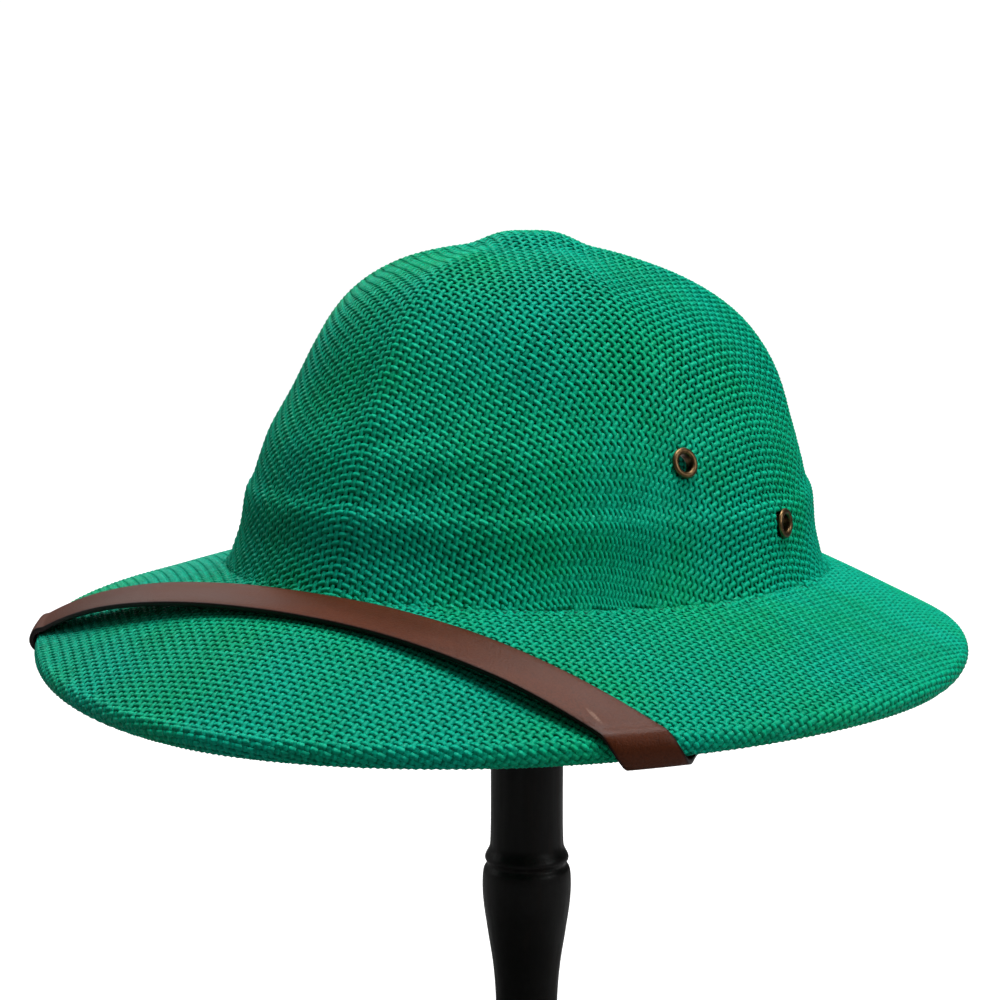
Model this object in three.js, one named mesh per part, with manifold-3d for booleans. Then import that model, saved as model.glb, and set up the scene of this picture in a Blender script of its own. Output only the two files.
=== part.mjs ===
// Pith helmet of woven paper straw with a brown leather chin strap, on a turned wooden stand.
// Millimetres. +Z is up, the helmet's front is -Y and the wearer's left is +X.
// The origin is the centre of the stand's underside.

import * as THREE from "three";
import { mergeVertices } from "three/addons/utils/BufferGeometryUtils.js";
import Module from "manifold-3d";

const wasm = await Module();
wasm.setup();

// Driving dimensions of the helmet
const FOLD_HEIGHT = 200; // the fold between crown and brim, above the table
const HELMET_BACK = 2; // the helmet's centre sits this far behind the post
const LENGTH_TO_WIDTH = 1.17; // the crown is longer than it is wide
const CROWN_HEIGHT = 102.3;
const FOLD_TILT = 4.6; // the fold climbs this much towards the front
const FOLD_WAVE = 0.7;
const FOLD_REACH = 107.2;
const CROWN_WALL = 2.2;
const BRIM_WALL = 3; // the brim's straw is laid double
const BRIM_BOW = { all: 0.4, front: 3 };
const LIP_RADIUS = 4.5; // the brim's edge is rolled under

// Sections of the crown from top to fold: height above the fold, half length, centre behind the axis
const CROWN_SECTIONS = [
  { height: 102.3, reach: 0, lean: -3 },
  { height: 102.0, reach: 9, lean: -3.5 },
  { height: 101.2, reach: 18.5, lean: -4.5 },
  { height: 99.8, reach: 28.5, lean: -5.5 },
  { height: 97, reach: 40.6, lean: -6 },
  { height: 92, reach: 54, lean: -3.2 },
  { height: 86, reach: 64.7, lean: 0 },
  { height: 79, reach: 73.2, lean: 2.8 },
  { height: 71, reach: 79.8, lean: 4.6 },
  { height: 62, reach: 85.2, lean: 5.3 },
  { height: 52, reach: 89.8, lean: 4.2 },
  { height: 42, reach: 93.5, lean: 2.4 },
  { height: 33, reach: 96.6, lean: 1.8 },
  { height: 28, reach: 98.2, lean: 1.5 },
  { height: 24, reach: 100.5, lean: 1.4 },
  { height: 12, reach: 102.4, lean: 0.7 },
  { height: 6, reach: 104.2, lean: 0.2 },
  { height: 2, reach: 105.7, lean: 0 },
];
const BRIM_SECTIONS = [{ share: 0.14 }, { share: 0.4 }, { share: 0.7 }];
const LIP_SECTIONS = [{ turn: 8 }, { turn: 50 }, { turn: 95 }, { turn: 140 }, { turn: 185 }, { turn: 215 }];

// The circle of the rolled lip: a rounded oblong whose centre lies ahead of the crown's
const RIM = {
  frontHalf: 143.2,
  rearHalf: 156,
  halfWidth: 144.9,
  ahead: 19.9,
  roundness: 1.86,
  frontDrop: 25.4,
  sideDrop: 21.8,
  rearDrop: 25.5,
};

// Six soft ridges run down the crown from the button at its top
const RIDGES = { angles: [0, 65, 115, 180, 245, 295], height: 1.6, halfWidth: 8, sink: 0.8 };
const RIDGE_FADE = { gone: 40, full: 58, meet: 34 };
const BUTTON = { height: 3, flat: 7, foot: 21, ahead: 1 };

// Four brass eyelets, two on each side: angle from the front, height above the fold
const EYELETS = [
  { name: "eyelet_left_front", angle: 69, height: 40.3 },
  { name: "eyelet_left_rear", angle: 95.2, height: 18.6 },
  { name: "eyelet_right_front", angle: -69, height: 40.3 },
  { name: "eyelet_right_rear", angle: -95.2, height: 18.6 },
];
const EYELET = { bore: 2.6, barrel: 3.1, flange: 4.9, washer: 4.6, rim: 0.9, gap: 0.5 };
const GAP = 0.3;
const DRILL_TURN = 11; // keeps the holes' corners off the rows of the surface they cut
const SLIVER = 0.03;

// The leather strap: across the front of the brim, round the lip, back inside the crown.
// It stands a little off the brim on both sides, and on the wearer's right it bows back more.
const STRAP = { width: 12.8, thickness: 1.6, middle: 8.4, ahead: 116.4, lift: 0.5, lipEnd: 195 };
const STRAP_HALVES = {
  left: { side: 1, bow: 1 / 1800, rise: 2, lipAdvance: 4.6, hiddenTurn: 0 },
  right: { side: -1, bow: 1 / 480, rise: 3.2, lipAdvance: 6.5, hiddenTurn: 6 },
};
const STRAP_RUN_STEPS = 8;
const STRAP_LIP_STEPS = 8;
// The hidden stretch, as angle from the front, station on the inner face and clearance to it
const STRAP_HIDDEN = [
  { angle: 65, station: 20.3, lift: 3.2 },
  { angle: 71, station: 19.3, lift: 1.9 },
  { angle: 76.5, station: 18.5, lift: 1.6 },
  { angle: 81.5, station: 17.8, lift: 1.7 },
  { angle: 86.5, station: 17.1, lift: 1.8 },
  { angle: 92, station: 16.4, lift: 1.6 },
  { angle: 98, station: 15.8, lift: 1.2 },
  { angle: 106, station: 15.2, lift: 0.7 },
];
const STUD = { shank: 1.8, head: 4, headThickness: 1.4, pocket: 1.3 };

// The turned stand: heights above the table
const BASE = { radius: 80, thickness: 16, bevel: 4 };
const TENON = { radius: 8, length: 12 };
const REST = { radius: 42, radii: [0, 10, 20, 30, 37], edge: 4, clearance: 0.8 };

const STRAW = new THREE.MeshStandardMaterial({ color: 0x0f9a80, roughness: 0.75, metalness: 0 });
const LEATHER = new THREE.MeshStandardMaterial({ color: 0x5f3323, roughness: 0.5, metalness: 0 });
const BRASS = new THREE.MeshStandardMaterial({ color: 0x8a6a3c, roughness: 0.4, metalness: 1 });
const WOOD = new THREE.MeshStandardMaterial({ color: 0x1c1715, roughness: 0.5, metalness: 0 });

const FOLD_STATION = CROWN_SECTIONS.length;
const LIP_STATION = FOLD_STATION + 1 + BRIM_SECTIONS.length;
const LAST_STATION = LIP_STATION + LIP_SECTIONS.length - 1;
const AROUND = 72;
const UP = new THREE.Vector3(0, 0, 1);

const radians = THREE.MathUtils.degToRad;
const signedPower = (value, power) => Math.sign(value) * Math.abs(value) ** power;

function crownPoint({ height, reach, lean }, angle) {
  const along = Math.cos(angle);
  const climb = FOLD_TILT * along + FOLD_WAVE * Math.cos(2 * angle);
  return new THREE.Vector3(
    (reach / LENGTH_TO_WIDTH) * Math.sin(angle),
    -reach * along + lean,
    height + climb * (1 - height / CROWN_HEIGHT),
  );
}

function foldPoint(angle) {
  return crownPoint({ height: 0, reach: FOLD_REACH, lean: 0 }, angle);
}

function rimPoint(angle) {
  const along = Math.cos(angle);
  const [halfLength, endDrop] = along > 0 ? [RIM.frontHalf, RIM.frontDrop] : [RIM.rearHalf, RIM.rearDrop];
  const power = 2 / RIM.roundness;
  return new THREE.Vector3(
    RIM.halfWidth * signedPower(Math.sin(angle), power),
    -halfLength * signedPower(along, power) - RIM.ahead,
    -(RIM.sideDrop + (endDrop - RIM.sideDrop) * along ** 2),
  );
}

function brimPoint({ share }, angle) {
  const point = foldPoint(angle).lerp(rimPoint(angle), share);
  const bow = BRIM_BOW.all + BRIM_BOW.front * Math.max(Math.cos(angle), 0) ** 2;
  point.z += LIP_RADIUS * share + bow * Math.sin(Math.PI * share);
  return point;
}

function lipPoint({ turn }, angle) {
  const rim = rimPoint(angle);
  const outward = rim.clone().sub(foldPoint(angle)).setZ(0).normalize();
  const bend = radians(turn);
  rim.addScaledVector(outward, LIP_RADIUS * Math.sin(bend));
  return rim.addScaledVector(UP, LIP_RADIUS * Math.cos(bend));
}

// The helmet's outer face along one angle from the front, from the top of the crown to the lip's end
const outlines = new Map();
function outline(angle) {
  if (!outlines.has(angle)) {
    const points = [
      ...CROWN_SECTIONS.map((section) => crownPoint(section, angle)),
      foldPoint(angle),
      ...BRIM_SECTIONS.map((section) => brimPoint(section, angle)),
      ...LIP_SECTIONS.map((section) => lipPoint(section, angle)),
    ];
    outlines.set(angle, new THREE.CatmullRomCurve3(points, false, "centripetal"));
  }
  return outlines.get(angle);
}

const smoothPoint = (angle, station) => outline(angle).getPoint(station / LAST_STATION);

function smoothNormal(angle, station) {
  const step = 0.01;
  const middle = THREE.MathUtils.clamp(station, 0.2, LAST_STATION - step);
  const down = smoothPoint(angle, middle + step).sub(smoothPoint(angle, middle - step));
  const round = smoothPoint(angle + step, middle).sub(smoothPoint(angle - step, middle));
  return station < step ? UP.clone() : down.cross(round).normalize();
}

function sectionValue(station, column) {
  const first = Math.min(Math.floor(station), FOLD_STATION - 2);
  const rows = CROWN_SECTIONS;
  return THREE.MathUtils.lerp(rows[first][column], rows[first + 1][column], Math.min(station - first, 1));
}

// How far the ridges and the button stand out of the smooth crown
function relief(angle, station, point) {
  if (station >= FOLD_STATION) return 0;
  const height = sectionValue(station, "height");
  const reach = sectionValue(station, "reach");
  const fade =
    THREE.MathUtils.smoothstep(height, RIDGE_FADE.gone, RIDGE_FADE.full) *
    THREE.MathUtils.smoothstep(reach, 0, RIDGE_FADE.meet);
  const away = RIDGES.angles.map((ridge) => Math.acos(Math.cos(angle - radians(ridge))));
  const nearest = Math.min(...away);
  const ridge = Math.exp(-(((nearest * reach) / RIDGES.halfWidth) ** 2)) - RIDGES.sink;
  const fromButton = Math.hypot(point.x, point.y + BUTTON.ahead);
  const onTop = height > CROWN_HEIGHT / 2 ? 1 : 0;
  const button = onTop * (1 - THREE.MathUtils.smoothstep(fromButton, BUTTON.flat, BUTTON.foot));
  return RIDGES.height * fade * ridge + BUTTON.height * button;
}

// A point of the shell, depth below its outer face
function shellPoint(angle, station, depth = 0) {
  const point = smoothPoint(angle, station);
  const normal = smoothNormal(angle, station);
  return point.addScaledVector(normal, relief(angle, station, point) - depth);
}

function wallAt(station) {
  const onBrim = THREE.MathUtils.smoothstep(station, FOLD_STATION - 3, FOLD_STATION + 1);
  return THREE.MathUtils.lerp(CROWN_WALL, BRIM_WALL, onBrim);
}

function solidGeometry(points, triangles) {
  const geometry = new THREE.BufferGeometry().setFromPoints(points);
  geometry.setIndex(triangles);
  return geometry;
}

// A closed solid of rings, whose first and last ring are single points
function ringSolid(rings) {
  const points = rings.flat();
  const starts = rings.map((_, row) => rings.slice(0, row).reduce((sum, ring) => sum + ring.length, 0));
  const at = (row, column) => starts[row] + (column % rings[row].length);
  const triangles = [];
  for (let row = 0; row + 1 < rings.length; row++)
    for (let column = 0; column < AROUND; column++) {
      const facing = at(row + 1, column + 1);
      if (rings[row + 1].length > 1) triangles.push(at(row, column), at(row + 1, column), facing);
      if (rings[row].length > 1) triangles.push(at(row, column), facing, at(row, column + 1));
    }
  return solidGeometry(points, triangles);
}

function shellRing(station, depth) {
  if (station === 0) return [shellPoint(0, 0, depth)];
  return Array.from({ length: AROUND }, (_, i) => shellPoint((2 * Math.PI * i) / AROUND, station, depth));
}

function shellSolid() {
  const stations = Array.from({ length: LAST_STATION + 1 }, (_, i) => i);
  const outer = stations.map((station) => shellRing(station, 0));
  const innerStations = stations.filter((station) => station < 5 || station > 9 || station % 2 === 0);
  const inner = innerStations.map((station) => shellRing(station, wallAt(station))).reverse();
  return ringSolid([...outer, ...inner]);
}

function toManifold(geometry) {
  const bare = geometry.clone().deleteAttribute("normal").deleteAttribute("uv");
  const merged = mergeVertices(bare, 1e-3);
  const vertProperties = new Float32Array(merged.attributes.position.array);
  const triVerts = new Uint32Array(merged.index.array);
  return new wasm.Manifold(new wasm.Mesh({ numProp: 3, vertProperties, triVerts }));
}

function cutAway(geometry, cutters) {
  const cut = cutters.reduce((left, cutter) => left.subtract(toManifold(cutter)), toManifold(geometry));
  const { vertProperties, triVerts } = cut.simplify(SLIVER).getMesh();
  const result = new THREE.BufferGeometry();
  result.setAttribute("position", new THREE.BufferAttribute(new Float32Array(vertProperties), 3));
  result.setIndex(new THREE.BufferAttribute(new Uint32Array(triVerts), 1));
  return result;
}

// Turns a piece made about +Z so that it stands on a point along a direction
function placeAlong(geometry, point, direction) {
  const turn = new THREE.Quaternion().setFromUnitVectors(UP, direction);
  return geometry.applyQuaternion(turn).translate(point.x, point.y, point.z);
}

function drill(radius, length, point, direction) {
  const rod = new THREE.CylinderGeometry(radius, radius, length, 12).rotateX(Math.PI / 2);
  return placeAlong(rod.rotateZ(radians(DRILL_TURN)), point, direction);
}

function lathe(profile, segments) {
  const points = profile.map(([radius, height]) => new THREE.Vector2(radius, height));
  return new THREE.LatheGeometry(points, segments).rotateX(Math.PI / 2);
}

// Where an eyelet sits: the middle of the wall and the way out of the helmet
function eyeletSeat({ angle, height }) {
  const turn = radians(angle);
  const row = CROWN_SECTIONS.findIndex((section) => section.height <= height);
  const above = CROWN_SECTIONS[row - 1].height;
  const station = row - (height - CROWN_SECTIONS[row].height) / (above - CROWN_SECTIONS[row].height);
  return { point: shellPoint(turn, station, CROWN_WALL / 2), outward: smoothNormal(turn, station) };
}

function eyeletSolid({ point, outward }) {
  const { bore, barrel, flange, washer, rim, gap } = EYELET;
  const seat = CROWN_WALL / 2 + gap;
  const profile = [
    [bore, -seat - rim / 2],
    [bore + 0.6, -seat - rim],
    [washer - 0.6, -seat - rim],
    [washer, -seat - rim / 2],
    [washer, -seat],
    [barrel, -seat],
    [barrel, seat],
    [flange, seat],
    [flange, seat + rim / 2],
    [flange - 0.7, seat + rim],
    [bore + 0.6, seat + rim],
    [bore, seat + rim / 2],
    [bore, -seat - rim / 2],
  ];
  return placeAlong(lathe(profile, 12), point, outward);
}

// The place on the brim straight below a point of the plan, by Newton's method
function onBrim(x, y) {
  let angle = Math.atan2(x * LENGTH_TO_WIDTH, -y);
  let station = FOLD_STATION + 1.5;
  const step = 1e-3;
  for (let i = 0; i < 12; i++) {
    const here = smoothPoint(angle, station);
    const turned = smoothPoint(angle + step, station).sub(here).divideScalar(step);
    const moved = smoothPoint(angle, station + step).sub(here).divideScalar(step);
    const missX = x - here.x;
    const missY = y - here.y;
    const area = turned.x * moved.y - turned.y * moved.x;
    angle += THREE.MathUtils.clamp((missX * moved.y - missY * moved.x) / area, -0.2, 0.2);
    station += THREE.MathUtils.clamp((turned.x * missY - turned.y * missX) / area, -0.7, 0.7);
    station = THREE.MathUtils.clamp(station, FOLD_STATION - 1, LIP_STATION + 0.3);
  }
  return { angle, station };
}

// One row across the strap on the outer face: each edge and the middle, under side and upper side
function outerRow(places, rise) {
  const lift = STRAP.lift + rise;
  return places.map(({ angle, station }) => {
    const normal = smoothNormal(angle, station);
    const point = smoothPoint(angle, station);
    return {
      under: point.clone().addScaledVector(normal, lift),
      upper: point.clone().addScaledVector(normal, lift + STRAP.thickness),
    };
  });
}

const STRAP_COLUMNS = [-1, 0, 1];

// A place of the strap in plan: how far across its centre line lies, and which edge
function strapPlan(across, edge, { side, bow }) {
  const slope = bow * across;
  const shift = (edge * STRAP.width) / 2 / Math.hypot(1, slope);
  return [side * STRAP.middle + across - slope * shift, -STRAP.ahead + (bow * across ** 2) / 2 + shift];
}

// How far across the strap's edge runs before it meets the lip
function strapReach(edge, half) {
  let low = 80;
  let high = 160;
  for (let i = 0; i < 30; i++) {
    const middle = (low + high) / 2;
    if (onBrim(...strapPlan(middle, edge, half)).station < LIP_STATION) low = middle;
    else high = middle;
  }
  return low;
}

// Rows from the middle of the brim's front round the lip, as if on the wearer's left
function strapHalf(half) {
  const columns = STRAP_COLUMNS.map((edge) => {
    const reach = strapReach(edge, half);
    return { edge, reach, crossing: onBrim(...strapPlan(reach, edge, half)).angle };
  });
  const rows = [];
  for (let i = 0; i <= STRAP_RUN_STEPS; i++) {
    const share = i / STRAP_RUN_STEPS;
    const places = columns.map(({ edge, reach }) => onBrim(...strapPlan(reach * share, edge, half)));
    rows.push(outerRow(places, half.rise * Math.sin(Math.PI * share ** 2)));
  }
  const lipEnd = LIP_STATION + 4 + (STRAP.lipEnd - 185) / 30;
  for (let i = 1; i <= STRAP_LIP_STEPS; i++) {
    const share = i / STRAP_LIP_STEPS;
    const station = THREE.MathUtils.lerp(LIP_STATION, lipEnd, share);
    const advance = radians(half.lipAdvance) * share;
    rows.push(outerRow(columns.map(({ crossing }) => ({ angle: crossing + advance, station })), 0));
  }
  return rows;
}

// The centre line of the hidden stretch on the helmet's inner face
function hiddenFrames({ hiddenTurn }) {
  const last = STRAP_HIDDEN.length - 1;
  const centres = STRAP_HIDDEN.map(({ angle, station, lift }, i) => {
    const turn = radians(angle + hiddenTurn * (1 - i / last));
    const inward = smoothNormal(turn, station).negate();
    const point = smoothPoint(turn, station).addScaledVector(inward, wallAt(station) + lift);
    return { point, inward };
  });
  const route = new THREE.CatmullRomCurve3(centres.map(({ point }) => point), false, "centripetal");
  return centres.map(({ point, inward }, i) => {
    const ahead = route.getTangent(i / (centres.length - 1));
    const across = new THREE.Vector3().crossVectors(inward, ahead).normalize();
    return { point, inward: new THREE.Vector3().crossVectors(ahead, across), across };
  });
}

function hiddenRows(half) {
  return hiddenFrames(half).map(({ point, inward, across }) =>
    STRAP_COLUMNS.map((side) => {
      const under = point.clone().addScaledVector(across, (side * STRAP.width) / 2);
      return { under, upper: under.clone().addScaledVector(inward, STRAP.thickness) };
    }),
  );
}

const mirrorPlace = ({ under, upper }) => ({
  under: under.clone().setX(-under.x),
  upper: upper.clone().setX(-upper.x),
});

function strapSolid() {
  const halves = [STRAP_HALVES.left, STRAP_HALVES.right];
  const [left, right] = halves.map((half) => [...strapHalf(half), ...hiddenRows(half)]);
  const rows = [...right.slice(1).reverse().map((row) => row.map(mirrorPlace)), ...left];
  const last = STRAP_COLUMNS.length - 1;
  const loops = rows.map((row) => {
    const uppers = row.map(({ upper }) => upper);
    return [...row.map(({ under }) => under), ...uppers.reverse()];
  });
  const size = loops[0].length;
  const triangles = [];
  for (let row = 0; row + 1 < loops.length; row++)
    for (let i = 0; i < size; i++) {
      const here = row * size;
      const there = here + size;
      const next = (i + 1) % size;
      triangles.push(here + i, here + next, there + i, here + next, there + next, there + i);
    }
  const end = (loops.length - 1) * size;
  for (let i = 0; i < last; i++) {
    const facing = size - 1 - i;
    triangles.push(i, facing - 1, i + 1, i, facing, facing - 1);
    triangles.push(end + i, end + i + 1, end + facing - 1, end + i, end + facing - 1, end + facing);
  }
  return solidGeometry(loops.flat(), triangles);
}

// Where the stud goes through the strap's end: its centre on the shell's inner face
function studSeat(half) {
  const frames = hiddenFrames(half);
  const { point, inward } = frames[frames.length - 2];
  const mirror = new THREE.Vector3(half.side, 1, 1);
  return { point: point.clone().multiply(mirror), inward: inward.clone().multiply(mirror) };
}

function studSolid({ point, inward }) {
  const { shank, head, headThickness, pocket } = STUD;
  const seat = STRAP.thickness + 2 * GAP;
  const profile = [
    [0, -pocket],
    [shank, -pocket],
    [shank, seat],
    [head, seat],
    [head - 0.3, seat + headThickness * 0.6],
    [head * 0.55, seat + headThickness],
    [0, seat + headThickness],
  ];
  return placeAlong(lathe(profile, 10), point, inward);
}

function standBase() {
  const { radius, thickness, bevel } = BASE;
  const socket = TENON.radius + GAP;
  const floor = thickness - TENON.length - GAP;
  const profile = [
    [0, 0],
    [radius - bevel / 2, 0],
    [radius, bevel / 2],
    [radius, thickness - 2 * bevel],
    [radius - bevel / 2, thickness - bevel],
    [radius - 2 * bevel, thickness - bevel / 2],
    [radius - 3 * bevel, thickness],
    [socket, thickness],
    [socket, floor],
    [0, floor],
  ];
  return lathe(profile, 32);
}

// Depth below the fold and radius of the turned post, from its upper shoulder down
const POST_TURNING = [
  { depth: -74, radius: 11.8 },
  { depth: 92, radius: 11.8 },
  { depth: 95.5, radius: 12.2 },
  { depth: 99, radius: 13.7 },
  { depth: 101, radius: 13.1 },
  { depth: 103, radius: 14.1 },
  { depth: 108, radius: 14.5 },
  { depth: 114, radius: 14.2 },
  { depth: 124, radius: 12.8 },
  { depth: 136, radius: 11 },
  { depth: 149, radius: 10.1 },
  { depth: 160, radius: 10.4 },
  { depth: 168, radius: 12.6 },
  { depth: 171, radius: 15 },
  { depth: 176, radius: 17 },
];

function standPost() {
  const foot = BASE.thickness + GAP;
  const shoulder = FOLD_HEIGHT - POST_TURNING[0].depth;
  const profile = [
    [0, foot - TENON.length],
    [TENON.radius, foot - TENON.length],
    [TENON.radius, foot],
    [19, foot],
    [19, FOLD_HEIGHT - 180],
    ...POST_TURNING.map(({ depth, radius }) => [radius, FOLD_HEIGHT - depth]).reverse(),
    [TENON.radius, shoulder],
    [TENON.radius, shoulder + TENON.length],
    [0, shoulder + TENON.length],
  ];
  return lathe(profile, 22);
}

// The lowest point of the crown's inner face at a distance from the post, above the table
function ceilingAt(radius) {
  const heights = Array.from({ length: 24 }, (_, i) => {
    const angle = (2 * Math.PI * i) / 24;
    let low = 0;
    let high = FOLD_STATION / 2;
    for (let step = 0; step < 24; step++) {
      const middle = (low + high) / 2;
      const point = shellPoint(angle, middle, CROWN_WALL);
      if (Math.hypot(point.x, point.y + HELMET_BACK) < radius) low = middle;
      else high = middle;
    }
    return shellPoint(angle, high, CROWN_WALL).z;
  });
  return FOLD_HEIGHT + Math.min(...heights);
}

// The rounded head of the stand, which the top of the crown rests on
function standRest() {
  const { radius, radii, edge, clearance } = REST;
  const under = FOLD_HEIGHT - POST_TURNING[0].depth + GAP;
  const socket = TENON.radius + GAP;
  const dome = radii.map((distance) => [distance, ceilingAt(distance) - clearance]).reverse();
  const profile = [
    [socket, under],
    [radius - edge, under],
    [radius, under + edge],
    [radius, dome[0][1] - 1.5 * edge],
    ...dome,
    [0, under + TENON.length + GAP],
    [socket, under + TENON.length + GAP],
    [socket, under],
  ];
  return lathe(profile, 24);
}

function piece(name, geometry, material) {
  const mesh = new THREE.Mesh(geometry, material);
  mesh.name = name;
  return mesh;
}

function helmet() {
  const group = new THREE.Group();
  const eyeletSeats = EYELETS.map(eyeletSeat);
  const studSeats = [studSeat(STRAP_HALVES.left), studSeat(STRAP_HALVES.right)];
  const eyeletBore = EYELET.barrel + GAP;
  const eyeletHoles = eyeletSeats.map(({ point, outward }) => drill(eyeletBore, 12, point, outward));
  const studBore = STUD.shank + GAP;
  const pocketDepth = STUD.pocket + GAP;
  const pockets = studSeats.map(({ point, inward }) => drill(studBore, 2 * pocketDepth, point, inward));
  const strapHoles = studSeats.map(({ point, inward }) => drill(studBore, 10, point, inward));
  group.add(piece("helmet_shell", cutAway(shellSolid(), [...eyeletHoles, ...pockets]), STRAW));
  EYELETS.forEach(({ name }, i) => group.add(piece(name, eyeletSolid(eyeletSeats[i]), BRASS)));
  group.add(piece("chin_strap", cutAway(strapSolid(), strapHoles), LEATHER));
  group.add(piece("strap_stud_left", studSolid(studSeats[0]), BRASS));
  group.add(piece("strap_stud_right", studSolid(studSeats[1]), BRASS));
  group.position.set(0, HELMET_BACK, FOLD_HEIGHT);
  return group;
}

function stand() {
  const group = new THREE.Group();
  group.add(piece("stand_base", standBase(), WOOD));
  group.add(piece("stand_post", standPost(), WOOD));
  group.add(piece("stand_rest", standRest(), WOOD));
  return group;
}

const root = new THREE.Group();
root.add(helmet(), stand());

export default root;
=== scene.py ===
"""Pith helmet of woven paper straw with a leather chin strap, on a turned wooden stand.

Metres. +Z is up, the helmet's front is -Y and the wearer's left is +X. The origin is the
centre of the stand's underside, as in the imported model.
"""

from __future__ import annotations

import logging
import math
from collections.abc import Callable, Iterator, Sequence
from dataclasses import dataclass, field
from enum import Enum

import bmesh
import bpy
import numpy as np
from mathutils import Matrix, Vector

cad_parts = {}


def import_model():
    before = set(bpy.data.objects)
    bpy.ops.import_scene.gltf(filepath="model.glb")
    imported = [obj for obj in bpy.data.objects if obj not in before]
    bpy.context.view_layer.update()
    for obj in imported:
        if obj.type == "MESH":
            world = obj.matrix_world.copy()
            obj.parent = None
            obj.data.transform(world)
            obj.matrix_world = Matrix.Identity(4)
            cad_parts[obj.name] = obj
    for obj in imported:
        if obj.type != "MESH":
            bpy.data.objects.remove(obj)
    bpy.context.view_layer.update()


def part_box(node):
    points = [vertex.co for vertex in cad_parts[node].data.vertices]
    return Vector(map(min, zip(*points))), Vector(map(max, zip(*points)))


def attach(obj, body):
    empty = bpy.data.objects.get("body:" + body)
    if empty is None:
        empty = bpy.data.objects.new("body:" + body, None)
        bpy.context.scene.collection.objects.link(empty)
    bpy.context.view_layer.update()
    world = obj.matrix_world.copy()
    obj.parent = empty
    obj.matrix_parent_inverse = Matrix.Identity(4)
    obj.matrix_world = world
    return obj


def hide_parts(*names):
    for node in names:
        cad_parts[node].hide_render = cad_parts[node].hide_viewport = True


LOG = logging.getLogger("pith_helmet")
BODY = "root"
Array = np.ndarray


class Slot(Enum):
    """The record's material slots."""

    STRAW = "woven_straw"
    BRASS = "antique_brass"
    LEATHER = "strap_leather"
    WOOD = "dark_wood"


# Colour and node helpers


def linear(hex_colour: str) -> tuple[float, float, float, float]:
    """Turn an sRGB hex colour into the linear colour that a shader takes.

    Args:
        hex_colour: Six hex digits with a leading #.

    Returns:
        Linear red, green, blue and an alpha of 1.
    """
    channels = [int(hex_colour[i : i + 2], 16) / 255 for i in (1, 3, 5)]
    flat = [c / 12.92 if c <= 0.04045 else ((c + 0.055) / 1.055) ** 2.4 for c in channels]
    return (flat[0], flat[1], flat[2], 1.0)


def add_node(
    tree: bpy.types.NodeTree, kind: str, inputs: dict | None = None, **settings: object
) -> bpy.types.Node:
    """Add a node, set its properties, and fill or link its inputs.

    Args:
        tree: The node tree.
        kind: The node's type name.
        inputs: Socket name or index to a value, or to the output socket it takes.
        **settings: The node's own properties.

    Returns:
        The new node.
    """
    node = tree.nodes.new(kind)
    for name, value in settings.items():
        setattr(node, name, value)
    for key, value in (inputs or {}).items():
        if isinstance(value, bpy.types.NodeSocket):
            tree.links.new(value, node.inputs[key])
        else:
            node.inputs[key].default_value = value
    return node


def maths(tree: bpy.types.NodeTree, operation: str, *values: object) -> bpy.types.NodeSocket:
    """Add a Math node and return its result."""
    inputs = dict(enumerate(values))
    return add_node(tree, "ShaderNodeMath", inputs, operation=operation).outputs[0]


def blend_colours(
    tree: bpy.types.NodeTree, factor: object, first: object, second: object, way: str = "MIX"
) -> bpy.types.NodeSocket:
    """Add a colour Mix node and return its result."""
    mix = add_node(tree, "ShaderNodeMix", {0: factor, 6: first, 7: second}, data_type="RGBA", blend_type=way)
    return mix.outputs[2]


def remap(
    tree: bpy.types.NodeTree, value: object, low: float, high: float, to_low: float, to_high: float
) -> bpy.types.NodeSocket:
    """Add a clamped Map Range node and return its result."""
    inputs = {0: value, 1: low, 2: high, 3: to_low, 4: to_high}
    return add_node(tree, "ShaderNodeMapRange", inputs, clamp=True).outputs[0]


def noise(
    tree: bpy.types.NodeTree, place: object, scale: float, detail: float = 2, roughness: float = 0.5
) -> bpy.types.NodeSocket:
    """Add a Noise node and return its value."""
    inputs = {"Vector": place, "Scale": scale, "Detail": detail, "Roughness": roughness}
    return add_node(tree, "ShaderNodeTexNoise", inputs).outputs[0]


def stretched(
    tree: bpy.types.NodeTree, place: object, scale: tuple[float, float, float]
) -> bpy.types.NodeSocket:
    """Add a Mapping node that scales a pattern's place and return its result."""
    return add_node(tree, "ShaderNodeMapping", {"Vector": place, "Scale": scale}).outputs[0]


def surface(
    tree: bpy.types.NodeTree, inputs: dict, height: object = None, depth: float = 0.0
) -> bpy.types.Node:
    """Add the main shader and the output, with a bump where a height is given.

    Args:
        tree: The node tree.
        inputs: The main shader's inputs.
        height: The bump's height from 0 to 1, or None.
        depth: What a height of 1 stands for, in metres.

    Returns:
        The main shader's node.
    """
    shader = add_node(tree, "ShaderNodeBsdfPrincipled", inputs)
    if height is not None:
        bump = add_node(tree, "ShaderNodeBump", {"Strength": 1.0, "Distance": depth, "Height": height})
        tree.links.new(bump.outputs[0], shader.inputs["Normal"])
    add_node(tree, "ShaderNodeOutputMaterial", {0: shader.outputs[0]})
    return shader


def new_material(name: str) -> tuple[bpy.types.Material, bpy.types.NodeTree]:
    """Make an empty node material.

    Args:
        name: The material's name.

    Returns:
        The material and its node tree.
    """
    material = bpy.data.materials.new(name)
    material.use_nodes = True
    material.node_tree.nodes.clear()
    return material, material.node_tree


# Finishes


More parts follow.
